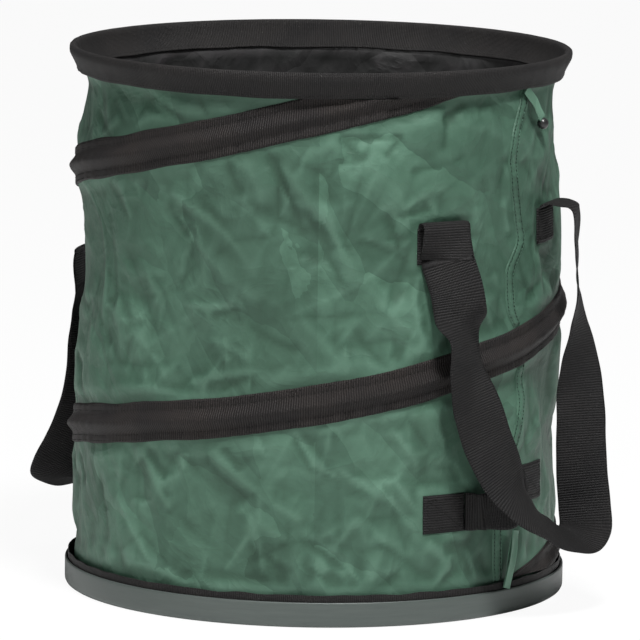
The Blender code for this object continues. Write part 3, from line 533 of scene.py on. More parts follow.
def ribbed_cloth(name, dark, light, rib_pitch, thread_pitch, depth, roughness, warm=0.0):
    """Tape or webbing: ribs across its length, threads, faded patches and a little lint."""
    material, tree, shader = material_of(name)
    spot = add(tree, "ShaderNodeTexCoord")
    _, weave = woven(tree, rib_pitch, thread_pitch)
    # The weave's tone is painted shade: darker in the grooves between the ribs and lighter on their tops,
    # from the same height as their relief
    tone = ramp(tree, weave, "Height", ((0.15, dark), (0.85, light)))
    fade = noise(tree, spot, {"Scale": 22.0, "Detail": 5.0, "Roughness": 0.6})
    faded, fresh = (0.72, 0.72, 0.74), (1.18 + warm, 1.14, 1.10 - warm)
    wash = ramp(tree, fade, "Fac", ((0.30, faded), (0.70, fresh)))
    tint = mixed(tree, "MULTIPLY", tone, "Color", wash)
    lint = noise(tree, spot, {"Scale": 900.0, "Detail": 2.0})
    speck = ramp(tree, lint, "Fac", ((0.66, BLACK), (0.78, (0.05, 0.048, 0.045))))
    lifted = mixed(tree, "ADD", tint, MIXED_COLOUR, speck)
    link(tree, lifted, MIXED_COLOUR, shader, "Base Color")
    ribs = bump(tree, weave, "Height", 0.55, depth)
    wear_and_painted_crease_light = noise(tree, spot, {"Scale": 60.0, "Detail": 3.0})
    worn_and_painted_crease_light = bump(tree, wear_and_painted_crease_light, "Fac", 0.25, 0.0006, ribs)
    link(tree, worn_and_painted_crease_light, "Normal", shader, "Normal")
    vary_roughness(tree, shader, wear_and_painted_crease_light, roughness - 0.08, roughness + 0.12)
    set_values(shader, {"Sheen Weight": 0.01, "Sheen Roughness": 0.5, "Specular IOR Level": 0.16})
    return material


def drawn_cloth(name, tones, roughness, sheen, wrinkle, specular=0.5):
    """Thin woven polyester: a fine square weave, soft creases and cloudy tone."""
    material, tree, shader = material_of(name)
    spot = add(tree, "ShaderNodeTexCoord")
    cut, weave = woven(tree, 0.0009, 0.0009)

    # Cloudy tone, with painted shade in the hollows and a painted highlight on the crests
    cloud = noise(tree, spot, {"Scale": 9.0, "Detail": 6.0, "Roughness": 0.62, "Distortion": 0.6})
    tone = ramp(tree, cloud, "Fac", tuple(zip((0.30, 0.52, 0.74), tones)))
    crest = add(tree, "ShaderNodeAttribute", attribute_name="Crest")
    height = add(tree, "ShaderNodeMapRange", {"From Min": -1.0, "From Max": 1.0})
    link(tree, crest, "Fac", height, "Value")
    wear_and_painted_crease_light = ramp(tree, height, 0, ((0.0, (0.68, 0.70, 0.68)), (0.5, WHITE), (1.0, (1.44, 1.36, 1.40))))
    worn_and_painted_crease_light = mixed(tree, "MULTIPLY", tone, "Color", wear_and_painted_crease_light)

    # Slanting facets between creases, each given a painted shade of its own, as if turned a little
    # differently to the light
    slant = {"Rotation": (0.0, 0.0, 0.7), "Scale": (0.036, 0.070, 1.0)}
    stretch = textured(tree, "ShaderNodeMapping", cut, "UV", slant, vector_type="TEXTURE")
    warp = textured(tree, "ShaderNodeTexNoise", stretch, "Vector", {"Scale": 1.3, "Detail": 3.0})
    shifted = add(tree, "ShaderNodeMix", {"Factor": 0.35}, data_type="VECTOR")
    link(tree, stretch, "Vector", shifted, FIRST_VECTOR)
    link(tree, warp, "Color", shifted, SECOND_VECTOR)
    cells = {"Scale": 1.0, "Randomness": 1.0}
    crease, facets = (
        textured(tree, "ShaderNodeTexVoronoi", shifted, MIXED_VECTOR, cells, feature=feature)
        for feature in ("DISTANCE_TO_EDGE", "F1")
    )
    edges = ramp(tree, crease, "Distance", ((0.0, BLACK), (0.16, WHITE)))
    shades = (0.15, (0.81, 0.81, 0.81)), (0.50, (0.97, 0.97, 0.97)), (0.85, (1.22, 1.20, 1.21))
    painted_facet_shade = mixed(tree, "MULTIPLY", worn_and_painted_crease_light, MIXED_COLOUR, ramp(tree, facets, "Color", shades))
    link(tree, painted_facet_shade, MIXED_COLOUR, shader, "Base Color")

    # Relief, from the weave up to the creases
    fine = bump(tree, weave, "Height", 0.22, 0.0002)
    folds = bump(tree, edges, "Color", 0.60, wrinkle, fine)
    crumpled = noise(tree, spot, {"Scale": 46.0, "Detail": 7.0, "Roughness": 0.55, "Distortion": 1.1})
    small = bump(tree, crumpled, "Fac", 0.12, wrinkle * 1.6, folds)
    ridge_values = {"Scale": 17.0, "Detail": 3.0, "Roughness": 0.55, "Lacunarity": 2.2}
    ridge_values |= {"Offset": 0.9, "Gain": 2.0, "Distortion": 0.5}
    ridges = noise(tree, spot, ridge_values, noise_type="RIDGED_MULTIFRACTAL")
    crushed = bump(tree, ridges, "Fac", 0.6, wrinkle, small)
    link(tree, crushed, "Normal", shader, "Normal")
    vary_roughness(tree, shader, crumpled, roughness - 0.10, roughness + 0.12)
    sheen_tint = (*[min(1.0, share * 3) for share in tones[-1]], 1.0)
    set_values(shader, {"Sheen Weight": sheen, "Sheen Roughness": 0.35, "Sheen Tint": sheen_tint})
    set_values(shader, {"Specular IOR Level": specular})
    return material


def moulded(name, colour, worn_colour, roughness):
    """Moulded plastic: fine grain and scuffs that run round it."""
    material, tree, shader = material_of(name)
    spot = add(tree, "ShaderNodeTexCoord")
    squeeze = textured(tree, "ShaderNodeMapping", spot, "Object", {"Scale": (6.0, 6.0, 90.0)})
    scuff_values = {"Scale": 3.0, "Detail": 8.0, "Roughness": 0.7}
    scuffs = textured(tree, "ShaderNodeTexNoise", squeeze, "Vector", scuff_values)
    tone = ramp(tree, scuffs, "Fac", ((0.35, colour), (0.75, worn_colour)))
    link(tree, tone, "Color", shader, "Base Color")
    pores = noise(tree, spot, {"Scale": 900.0, "Detail": 2.0})
    grain = bump(tree, pores, "Fac", 0.30, 0.0002)
    link(tree, grain, "Normal", shader, "Normal")
    vary_roughness(tree, shader, scuffs, roughness - 0.10, roughness + 0.15)
    return material


def drawn_steel(name):
    """Spring wire under a thin, uneven film of oil."""
    material, tree, shader = material_of(name)
    spot = add(tree, "ShaderNodeTexCoord")
    film = noise(tree, spot, {"Scale": 80.0, "Detail": 6.0, "Roughness": 0.7})
    tone = ramp(tree, film, "Fac", ((0.3, (0.30, 0.30, 0.31)), (0.7, (0.56, 0.56, 0.57))))
    link(tree, tone, "Color", shader, "Base Color")
    vary_roughness(tree, shader, film, 0.25, 0.45)
    skin = bump(tree, film, "Fac", 0.15, 0.0002)
    link(tree, skin, "Normal", shader, "Normal")
    set_values(shader, {"Metallic": 1.0})
    return material


GREEN = drawn_cloth(
    "Green polyester", ((0.038, 0.082, 0.055), (0.050, 0.104, 0.072), (0.062, 0.126, 0.088)),
    roughness=0.52, sheen=0.02, wrinkle=0.0016, specular=0.20,
)
LINING = drawn_cloth(
    "Coated inside", ((0.022, 0.022, 0.022), (0.031, 0.031, 0.031), (0.046, 0.046, 0.047)),
    roughness=0.38, sheen=0.04, wrinkle=0.0014, specular=0.45,
)
RIBBON = drawn_cloth(
    "Green ribbon", ((0.060, 0.135, 0.090), (0.080, 0.175, 0.118), (0.110, 0.220, 0.155)),
    roughness=0.55, sheen=0.25, wrinkle=0.0003,
)
TAPE = ribbed_cloth(
    "Black casing tape", (0.0012, 0.0011, 0.0011), (0.023, 0.0205, 0.0205),
    rib_pitch=0.0023, thread_pitch=0.0012, depth=0.0012, roughness=0.56, warm=0.05,
)
BINDING = ribbed_cloth(
    "Black binding", (0.0020, 0.0019, 0.0019), (0.019, 0.018, 0.018),
    rib_pitch=0.0018, thread_pitch=0.0012, depth=0.0008, roughness=0.56,
)
STRAP = ribbed_cloth(
    "Black webbing", (0.0010, 0.0010, 0.0010), (0.014, 0.0136, 0.014),
    rib_pitch=0.0024, thread_pitch=0.0014, depth=0.0013, roughness=0.58,
)
THREAD = ribbed_cloth(
    "Dark thread", (0.006, 0.007, 0.006), (0.020, 0.024, 0.021),
    rib_pitch=0.0010, thread_pitch=0.0010, depth=0.0001, roughness=0.60,
)
# Thread for the side seams, dark enough to stand also for the shade in the stitch grooves: painted shade on
# real stitches
SEAM_THREAD_AND_GROOVE_SHADE = ribbed_cloth(
    "Green thread", (0.004, 0.012, 0.008), (0.012, 0.028, 0.019),
    rib_pitch=0.0010, thread_pitch=0.0010, depth=0.0001, roughness=0.60,
)
PAN = moulded("Grey-green moulded pan", (0.050, 0.063, 0.058), (0.070, 0.084, 0.077), 0.46)
BALL = moulded("Black moulded ball", (0.010, 0.010, 0.010), (0.022, 0.022, 0.022), 0.30)
STEEL = drawn_steel("Spring steel")

# The cloth's creases on the side that faces front: first angle and height, second angle and
# height, how far it stands out, half width. Lengths are in millimetres.
CREASES = (
    (-30.5, 496, -26.7, 470, -2, 5), (-47, 491, -32.8, 464, -2.2, 6), (-43, 494, -29.6, 467, 1.6, 9),
    (-68.3, 463, -59.7, 444, -2, 5), (-56.5, 462, -62.8, 443, 1.8, 5), (-25, 492, -22.4, 472, 1.2, 6),
    (-12.5, 445, -4, 372, -3, 7), (-8.1, 428, 3, 379, 2.6, 8), (-4, 372, -0, 343, -2.2, 9),
    (-38.6, 389, -32.8, 361, -2.4, 7), (-36, 396, -22.3, 366, 3, 8), (-22.3, 366, -14.7, 328, 2.6, 8),
    (-38.9, 387, -29.2, 352, 2.2, 7), (-29.2, 352, -15.1, 309, 2.6, 8), (4.8, 461, 10.2, 437, -2.2, 6),
    (5, 459, 19.3, 460, -1.8, 4), (19.3, 460, 15, 441, -2, 6), (10.2, 437, 19.3, 405, 2, 9),
    (21.9, 426, 29, 430, -1.8, 5), (29, 430, 35.8, 438, -1.6, 5), (31.7, 478, 30.2, 445, -2.4, 7),
    (25.9, 485, 24.5, 446, 2.6, 12), (36.6, 492, 30.6, 471, -1.8, 7), (0.3, 396, 9.7, 327, 3, 9),
    (-2.4, 387, 6.5, 321, -2.4, 9), (16.2, 387, 19.7, 348, -1.8, 7), (19.1, 385, 26.8, 391, -1.8, 5),
    (28.8, 408, 31.9, 436, 1.5, 6), (38.2, 415, 39.9, 382, 1.4, 6), (-32.5, 296, -18.7, 298, 1.6, 5),
    (-25.4, 287, -18.7, 297, -1.4, 5), (-35.1, 237, -32, 222, -1.6, 5), (-32, 222, -12.5, 239, 1.8, 6),
    (-54.1, 206, -33.1, 211, 1.6, 4), (-33.1, 211, -25.6, 203, 1.2, 4), (-65.1, 362, -62.4, 269, 2, 5),
    (-60.8, 368, -58, 289, -1.6, 6), (-69, 254, -66, 196, 1.6, 5), (-18.4, 445, -13.1, 395, 1.6, 9),
    (-22.1, 435, -18.3, 403, -1.6, 8), (-46.1, 157, -41, 131, 2, 5), (-41, 131, -36.1, 104, 1.8, 6),
    (-43.1, 160, -37.7, 130, -1.8, 6), (-24.2, 159, -12.2, 122, 2.2, 6), (-21.9, 165, -17.5, 145, -1.6, 6),
    (-12.2, 122, -3.3, 101, 1.6, 7), (-3.6, 186, 3.4, 148, -1.6, 7), (3.3, 186, 0.7, 139, 1.6, 8),
    (5.7, 148, 18, 119, 2, 7), (18, 119, 24.6, 89, 1.4, 6), (10.5, 101, 3.7, 67, 1.8, 7),
    (-3.2, 82, 8.4, 49, -1.8, 6), (-14.9, 99, -11.9, 50, 2, 6), (-32.7, 93, -19.6, 60, -1.8, 7),
    (-52.1, 101, -41.4, 50, 1.8, 6), (-61.1, 125, -56.9, 60, -1.6, 6), (-48.1, 46, -32.5, 36, 1.4, 6),
    (15.3, 77, 27.9, 41, -1.6, 6), (27.7, 79, 33.8, 52, 1.8, 5), (33.8, 52, 28.5, 31, 1.6, 5),
    (39, 64, 41.7, 24, 2.2, 5), (43.4, 58, 46.4, 20, -2.4, 4), (18.5, 183, 24.9, 146, 1.6, 7),
    (30.3, 97, 36.7, 61, -1.6, 6), (49.1, 393, 51.2, 362, 1.4, 5), (62.8, 454, 53.8, 424, 1.6, 6),
    (67.8, 433, 58.4, 399, 1.4, 6), (61.9, 340, 73.2, 287, 2, 6), (55.4, 332, 61.4, 293, -1.4, 6),
    (58.4, 294, 72.5, 324, -1.6, 6), (66, 176, 76.6, 121, 1.8, 5), (59.6, 170, 64.3, 119, -1.4, 5),
    (68.5, 380, 59.8, 346, -1.6, 6), (42.6, 301, 47.5, 257, 1.4, 7), (14.4, 308, 24.3, 269, 1.6, 9),
    (-15.5, 278, -3.8, 259, -1.6, 8), (-3.9, 289, 7.7, 233, 1.8, 9), (-25.3, 266, -15.4, 249, 1.4, 7),
    (8.7, 280, 17.5, 240, -1.6, 8), (-53.1, 339, -42.2, 268, -1.4, 10), (-48.9, 265, -37.4, 223, 1.2, 8),
)

# Patches sewn on the cloth, a handle's as middle angle, lowest and highest height and a grip's as
# first and second angle, lowest and highest height. The left ones are the right ones turned and set lower.
LEFT_TURN, LEFT_DROP, LEFT_GRIP_DROP = 172.0, 0.072, 0.050
HALF_PATCH = math.degrees(0.025 / RIDGE_RADIUS)
RIGHT_HANDLE = {"front": (30.1, 0.338, 0.372), "rear": (70.9, 0.3440, 0.3780)}
RIGHT_GRIP = {"front": (26.3, 37.8, 0.084, 0.120), "rear": (57.3, 69.4, 0.100, 0.136)}
SIDES = (("right", 0.0, 0.0, 0.0), ("left", LEFT_TURN, LEFT_DROP, LEFT_GRIP_DROP))
HANDLE_PATCHES = {
    (side, label): (middle + turn, low - drop, high - drop)
    for side, turn, drop, _ in SIDES
    for label, (middle, low, high) in RIGHT_HANDLE.items()
}
GRIP_PATCHES = {
    (side, label): (first + turn, second + turn, low - drop, high - drop)
    for side, turn, _, drop in SIDES
    for label, (first, second, low, high) in RIGHT_GRIP.items()
}

# Where straps and grips hang close to the cloth on the right: angle and height
HANGING = [(31.0 + 1.2 * k, 0.335 - 0.024 * k) for k in range(11)]
HANGING += [(34.0 + 3.5 * k, 0.108) for k in range(9)]

# The relief's softly kept limit, and how high it may stand behind the straps
RELIEF_LIMIT, STRAP_LIMIT = 0.0046, 0.0012

# Points round and up the cloth

COLUMNS, ROWS = 600, 161
ROUND = 2 * math.pi * RIDGE_RADIUS


def crumple(seed, cell, height, skew, stretch):
    """A closed crumpled field over the unrolled cloth: random heights joined by flat facets."""
    source = np.random.default_rng(seed)
    across, up = max(8, int(ROUND / cell)), max(4, int(0.56 / (cell * stretch)))
    i, j = np.meshgrid(np.arange(across), np.arange(up + 2), indexing="ij")
    s = (i + source.uniform(-0.42, 0.42, i.shape) + 0.5 * (j % 2)) * ROUND / across
    z = (j - 0.5 + source.uniform(-0.42, 0.42, j.shape)) * 0.56 / up - 0.02
    value = source.normal(0, height, i.shape)
    s, z, value = s.ravel(), z.ravel(), value.ravel()
    s = np.mod(s + skew * z, ROUND)
    near = 0.16
    left, right = s > ROUND - near, s < near
    s = np.concatenate([s, s[left] - ROUND, s[right] + ROUND])
    z = np.concatenate([z, z[left], z[right]])
    value = np.concatenate([value, value[left], value[right]])
    found = geometry.delaunay_2d_cdt([Vector((a, b)) for a, b in zip(s, z)], [], [], 0, 1e-6)
    points, triangles, origin = found[0], found[2], found[3]
    points = np.array([(p.x, p.y) for p in points])
    heights = np.array([value[o[0]] if len(o) else 0.0 for o in origin])
    grid = np.zeros((COLUMNS, ROWS))
    step_s, step_z = ROUND / COLUMNS, (WALL_TOP - WALL_BOTTOM) / (ROWS - 1)
    for triangle in triangles:
        p, h = points[triangle], heights[triangle]
        i0, i1 = int(p[:, 0].min() / step_s), int(p[:, 0].max() / step_s) + 1
        j0, j1 = int((p[:, 1].min() - WALL_BOTTOM) / step_z), int((p[:, 1].max() - WALL_BOTTOM) / step_z) + 1
        i0, i1, j0, j1 = max(0, i0), min(COLUMNS - 1, i1), max(0, j0), min(ROWS - 1, j1)
        if i1 < i0 or j1 < j0:
            continue
        x = np.arange(i0, i1 + 1)[:, None] * step_s
        y = WALL_BOTTOM + np.arange(j0, j1 + 1)[None] * step_z
        (ax, ay), (bx, by), (cx, cy) = p
        area = (bx - ax) * (cy - ay) - (cx - ax) * (by - ay)
        if abs(area) < 1e-12:
            continue
        v = ((x - ax) * (cy - ay) - (cx - ax) * (y - ay)) / area
        w = ((bx - ax) * (y - ay) - (x - ax) * (by - ay)) / area
        inside = (v >= -1e-9) & (w >= -1e-9) & (v + w <= 1 + 1e-9)
        block = grid[i0 : i1 + 1, j0 : j1 + 1]
        block[inside] = (h[0] + v * (h[1] - h[0]) + w * (h[2] - h[0]))[inside]
    return grid


def soften(grid, times):
    """Averages each point with its neighbours, round and then up, some times over."""
    for _ in range(times):
        grid = (np.roll(grid, 1, 0) + 2 * grid + np.roll(grid, -1, 0)) / 4
        padded = np.pad(grid, ((0, 0), (1, 1)), mode="edge")
        grid = (padded[:, :-2] + 2 * grid + padded[:, 2:]) / 4
    return grid


def in_metres(strokes):
    """The heights of a table of creases in metres."""
    return [(a, za / 1000, b, zb / 1000, rise, half) for a, za, b, zb, rise, half in strokes]


def crease_field(phi, height, creases):
    """Ridges and grooves along slanting, slightly bent lines that fade out at their ends."""
    total = np.zeros(phi.shape)
    for a, za, b, zb, rise, half in creases:
        middle = (a + b) / 2
        sa, sb = math.radians(a) * RIDGE_RADIUS, math.radians(b) * RIDGE_RADIUS
        s = np.radians(turned_from(phi, middle) + middle) * RIDGE_RADIUS
        dx, dz = sb - sa, zb - za
        length = math.hypot(dx, dz)
        along = ((s - sa) * dx + (height - za) * dz) / length
        off = ((s - sa) * dz - (height - za) * dx) / length
        reach = 0.18 * length
        fade = smooth_step(along, -reach, reach) * (1 - smooth_step(along, length - reach, length + reach))
        width = half / 1000 * 1.25
        way = 1 if (a + zb * 91) % 2 > 1 else -1
        bend = 0.10 * length * np.sin(math.pi * np.clip(along / length, 0, 1)) * way
        total += rise / 1000 * fade * np.exp(-np.abs((off + bend * 0.3) / width) ** 1.25)
    return total


# Broad places where the cloth hangs in or stands out beside the coil, written like the creases
HOLLOWS = (
    (-84, 285, -92, 400, -8, 55), (-97, 465, -78, 488, -4, 30), (92, 250, 84, 190, 9, 50),
    (84, 455, 96, 485, -4, 40),
)


def scattered_creases(count, seed):
    """More creases for the sides and the back, which lean like those in front."""
    source = np.random.default_rng(seed)
    found = []
    for _ in range(count):
        angle = source.uniform(78, 282)
        height = source.uniform(0.05, 0.47)
        lean = source.choice([-1, 1], p=[0.35, 0.65]) * source.uniform(0.5, 1.4)
        length = source.uniform(0.03, 0.09)
        dx, dz = math.sin(lean) * length, -math.cos(lean) * length
        rise = source.choice([-1, 1]) * source.uniform(1.3, 2.8)
        half = source.uniform(5, 9)
        found.append((angle, height, angle + math.degrees(dx / RIDGE_RADIUS), height + dz, rise, half))
    return found


def patch_boxes():
    """First and second angle, lowest and highest height of every sewn patch."""
    handles = [(mid - HALF_PATCH, mid + HALF_PATCH, low, high) for mid, low, high in HANDLE_PATCHES.values()]
    return handles + list(GRIP_PATCHES.values())


PHI = np.arange(COLUMNS) * 360.0 / COLUMNS
LEVEL = np.linspace(WALL_BOTTOM, WALL_TOP, ROWS)
PHI_GRID, LEVEL_GRID = np.meshgrid(PHI, LEVEL, indexing="ij")


def cloth_relief():
    """How far the cloth stands off its drawn shape at each grid point."""
    field = np.zeros((COLUMNS, ROWS))
    for seed, cell, height, skew, stretch in (
        (11, 0.090, 0.0014, 0.55, 1.5), (12, 0.048, 0.0026, 0.45, 1.3),
        (13, 0.027, 0.0015, -0.3, 1.2), (14, 0.014, 0.0004, 0.2, 1.1),
    ):
        field += crumple(seed, cell, height, skew, stretch)
    field += 1.3 * crease_field(PHI_GRID, LEVEL_GRID, in_metres(CREASES) + scattered_creases(190, 21))
    field += crease_field(PHI_GRID, LEVEL_GRID, in_metres(HOLLOWS))
    hold = smooth_step(coil_distance(PHI_GRID, LEVEL_GRID), 0.016, 0.034)
    hold *= smooth_step(LEVEL_GRID, HEM_TOP - 0.002, HEM_TOP + 0.016)
    hold *= 1 - smooth_step(LEVEL_GRID, RIM_BOTTOM - 0.016, RIM_BOTTOM + 0.001)
    for first, second, low, high in patch_boxes():
        middle, half = (first + second) / 2, (second - first) / 2
        aside = np.maximum(0, np.abs(turned_from(PHI_GRID, middle)) - half)
        off = aside * math.radians(1) * RIDGE_RADIUS
        rise = np.maximum(0, np.maximum(low - LEVEL_GRID, LEVEL_GRID - high))
        hold *= smooth_step(np.hypot(off, rise), 0.001, 0.014)
    round_angle = np.radians(PHI_GRID)
    base_pleats = 0.0012 * np.sin(round_angle * 46 + 3 * np.sin(round_angle * 5))
    base_pleats *= np.exp(-((LEVEL_GRID - 0.050) / 0.020) ** 2) * (0.5 + 0.5 * np.sin(round_angle * 7 + 1))
    field = RELIEF_LIMIT * np.tanh((field + base_pleats) / RELIEF_LIMIT) * hold
    for _, side_turn, side_drop, _ in SIDES:
        near = np.full(field.shape, 1.0)
        for angle, level in HANGING:
            off = np.radians(turned_from(PHI_GRID - angle, side_turn)) * RIDGE_RADIUS
            near = np.minimum(near, np.hypot(off, LEVEL_GRID - level + side_drop))
        field = np.minimum(field, STRAP_LIMIT + 0.006 * smooth_step(near, 0.028, 0.050))
    return field


RELIEF = cloth_relief()
# How far the relief stands above or below its softened self; it drives the painted highlight on the crests
# and the painted shade in the hollows
CREST = np.clip((RELIEF - soften(RELIEF, 4)) / 0.00035, -1, 1)


def set_crest(made, values):
    """Marks where the cloth is creased outwards, for the painted highlight on its ridges and the painted
    shade in its hollows.
    """
    layer = made.data.attributes.new("Crest", "FLOAT", "POINT")
    layer.data.foreach_set("value", np.asarray(values, np.float32).ravel())


def relief_at(phi, height):
    """The relief between grid points."""
    phi, height = np.broadcast_arrays(np.asarray(phi, float), np.asarray(height, float))
    x = np.mod(phi, 360.0) / 360.0 * COLUMNS
    y = np.clip((height - WALL_BOTTOM) / (WALL_TOP - WALL_BOTTOM), 0, 1) * (ROWS - 1)
    i, j = np.floor(x).astype(int), np.minimum(np.floor(y).astype(int), ROWS - 2)
    fx, fy = x - i, y - j
    i0, i1 = i % COLUMNS, (i + 1) % COLUMNS
    return (
        RELIEF[i0, j] * (1 - fx) * (1 - fy)
        + RELIEF[i1, j] * fx * (1 - fy)
        + RELIEF[i0, j + 1] * (1 - fx) * fy
        + RELIEF[i1, j + 1] * fx * fy
    )


def on_cloth(phi, height, lift=0.0):
    return place(phi, wall_radius(phi, height) + relief_at(phi, height) + lift, height)


def sink_with_wall(piece):
    """The cloth and what is sewn flat on it go with the base, each on a mesh of its own."""
    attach(piece, "base")
    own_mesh(piece)


def make_cloth():
    radius = wall_radius(PHI_GRID, LEVEL_GRID)
    uv = grid_of(np.arange(COLUMNS + 1) * ROUND / COLUMNS, LEVEL)
    tucked = smooth_step(LEVEL_GRID, RIM_BOTTOM, RIM_BOTTOM + 0.004)
    outer_points = place(PHI_GRID, radius + RELIEF + 0.0012 * tucked, LEVEL_GRID)
    outer = from_grid("bag_cloth", outer_points, uv, GREEN, closed_u=True)
    rows = slice(None, None, 2)
    inner_points = place(PHI_GRID, radius + RELIEF - 0.0012 + 0.0020 * tucked, LEVEL_GRID)[::2, rows]
    inner = from_grid("bag_lining", inner_points, uv[::2, rows], LINING, closed_u=True, flip=True)
    # The lining faces inwards, so its painted highlight and painted shade are turned over
    set_crest(outer, CREST)
    set_crest(inner, -CREST[::2, rows])
    for piece in (outer, inner):
        sink_with_wall(piece)
        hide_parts("body_wall")


def seam_angle(base, height):
    """The side seam wanders with the cloth's folds."""
    heights = [30, 45, 90, 155, 175, 200, 222, 262, 285, 325, 352, 400, 435, 455, 490, 500]
    shifts = [-4.0, -3.6, -3.0, 1.2, 3.2, 5.2, 4.4, 3.4, 0.0, -0.2, 3.6, 0.2, -0.6, 0.6, 5.0, 6.0]
    swing = np.interp(height, np.array(heights) / 1000, shifts)
    weights = np.hanning(13) / np.hanning(13).sum()
    return base + np.convolve(np.pad(swing, 6, mode="edge"), weights, mode="valid")


def make_seam(name, base):
    """A lapped side seam: a flat fold of the cloth with two rows of stitches in shallow grooves."""
    height = np.linspace(HEM_TOP - 0.003, RIM_BOTTOM + 0.004, 230)
    middle = seam_angle(base, height)
    across = np.array([-6.6, -6.0, -5.2, -4.6, -4.2, -3.6, -2.0, 0, 2.0, 3.6, 4.2, 4.6, 5.2, 6.0, 6.6]) / 1000
    lift = np.array([-0.4, 0.8, 1.6, 1.2, 0.2, 1.2, 1.9, 2.1, 1.9, 1.2, 0.2, 1.2, 1.6, 0.8, -0.4]) / 1000
    phi = middle[:, None] + np.degrees(across[None] / RIDGE_RADIUS)
    level = np.broadcast_to(height[:, None], phi.shape)
    pucker = 0.0004 * np.sin(height * 900 + 2 * np.sin(height * 130))[:, None] * np.cos(across * 260)[None]
    near = 1 - smooth_step(coil_distance(phi, level), 0.0185, 0.0215)
    # Under the coil's tape it sinks between the cloth and the lining
    points = on_cloth(phi, level, np.maximum(lift[None] + pucker - near * 0.004, -0.0006))
    uv = np.stack([np.broadcast_to(across[None] + 0.02, phi.shape), level], -1)
    strip = from_grid(name, points, uv, GREEN)
    rows = []
    for offset in (-0.0042, 0.0042):
        line = middle + math.degrees(offset / RIDGE_RADIUS)
        keep = coil_distance(line, height) > 0.020
        cuts = np.flatnonzero(np.diff(keep.astype(int))) + 1
        for run in np.split(np.arange(len(height)), cuts):
            if keep[run[0]] and len(run) > 6:
                rows.append((on_cloth(line[run], height[run], 0.0011), outward(line[run])))
    # Thick, nearly unbroken dark stitches: real thread that also carries the grooves' painted shade
    thread = stitches(f"{name}_stitches", rows, SEAM_THREAD_AND_GROOVE_SHADE, length=0.0031, radius=0.0008)
    for piece in (strip, thread):
        sink_with_wall(piece)


def tape_lift(across):
    """The casing's cross shape: flat edges and a round tunnel over the wire."""
    flat = 0.0014 + 0.0003 * np.cos(across * 400)
    tunnel = 0.0046 * np.clip(np.cos(math.pi * across / 0.0215), 0, 1) ** 1.6
    edge = smooth_step(TAPE_WIDTH / 2 - np.abs(across), 0.0, 0.0010)
    return 0.0002 + (flat + tunnel) * edge


def make_tape():
    """The casing sewn over the coil, cut off at the hem and the rim, with four rows of stitches."""
    edge = np.array([0.0180, 0.0188, TAPE_WIDTH / 2])
    across = np.concatenate([-edge[::-1], np.linspace(-0.0165, 0.0165, 23), edge])
    turn = np.arange(COIL_START, COIL_END + 0.1, 0.75)
    ripple = 0.00028 * waves(turn, 5, 12, 20, 95)[:, None] * np.cos(across * 200)[None]
    drift = 0.0007 * waves(turn, 6, 8, 3, 18)
    widening = 1 + 0.02 * waves(turn, 8, 6, 4, 30)[:, None]
    level = coil_height(turn)[:, None] + across[None] * widening + drift[:, None]
    points = place(turn[:, None], wall_radius(turn[:, None], level) + tape_lift(across)[None] + ripple, level)
    uv = grid_of(np.radians(turn) * RIDGE_RADIUS, across)
    tape = from_grid("spring_tape", points, uv, TAPE)
    cut_level(tape, HEM_TOP + 0.0002, (0, 0, -1))
    cut_level(tape, RIM_BOTTOM - 0.0002, (0, 0, 1))
    rows = []
    for offset in (-0.0167, -0.0118, 0.0118, 0.0167):
        line = coil_height(turn) + offset + drift
        lift = np.interp(offset, across, tape_lift(across)) + 0.0001
        keep = (line > HEM_TOP + 0.002) & (line < RIM_BOTTOM - 0.002)
        angle, line = turn[keep], line[keep]
        rows.append((place(angle, wall_radius(angle, line) + lift, line), outward(angle)))
    thread = stitches("spring_tape_stitches", rows, THREAD, pitch=0.0040)
    for piece in (tape, thread):
        sink_with_wall(piece)
    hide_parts("spring_casing")


def cut_level(made, level, normal):
    """Cuts off what lies beyond a level."""
    bm = opened(made)
    whole = bm.verts[:] + bm.edges[:] + bm.faces[:]
    bmesh.ops.bisect_plane(
        bm, geom=whole, dist=1e-6, plane_co=(0, 0, level), plane_no=normal, clear_outer=True
    )
    written(bm, made)


def tube(name, points, radius, material, sides=10):
    """A round wire along a row of points that runs round the bag."""
    along = unit(np.gradient(points, axis=0))
    out = points.copy()
    out[:, 2] = 0
    out = unit(out)
    out = unit(out - along * (out * along).sum(1, keepdims=True))
    up = np.cross(along, out)
    angle = (np.arange(sides) * 2 * math.pi / sides)[None, :, None]
    ring = points[:, None] + radius * (out[:, None] * np.cos(angle) + up[:, None] * np.sin(angle))
    uv = grid_of(np.arange(len(points)) * 0.01, np.arange(sides + 1) * 0.001)
    made = from_grid(name, ring, uv, material, closed_v=True)
    close_holes(made)
    return made


def make_wires():
    """The coil's wire, whose two ends lie against the base ring and the rim ring."""
    turn = np.arange(COIL_START, COIL_END + 0.1, 2.5)
    low, high = 0.0137, 0.5122
    level = np.clip(coil_height(turn), low, high)
    level = np.where(turn <= COIL_START + 7.5, low, level)
    level = np.where(turn >= COIL_END - 7.5, high, level)
    coil = tube("spring_wire", place(turn, ridge_radius(level) + WIRE_LIFT, level), WIRE_RADIUS, STEEL)
    sink_with_wall(coil)
    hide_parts("spring_coil")


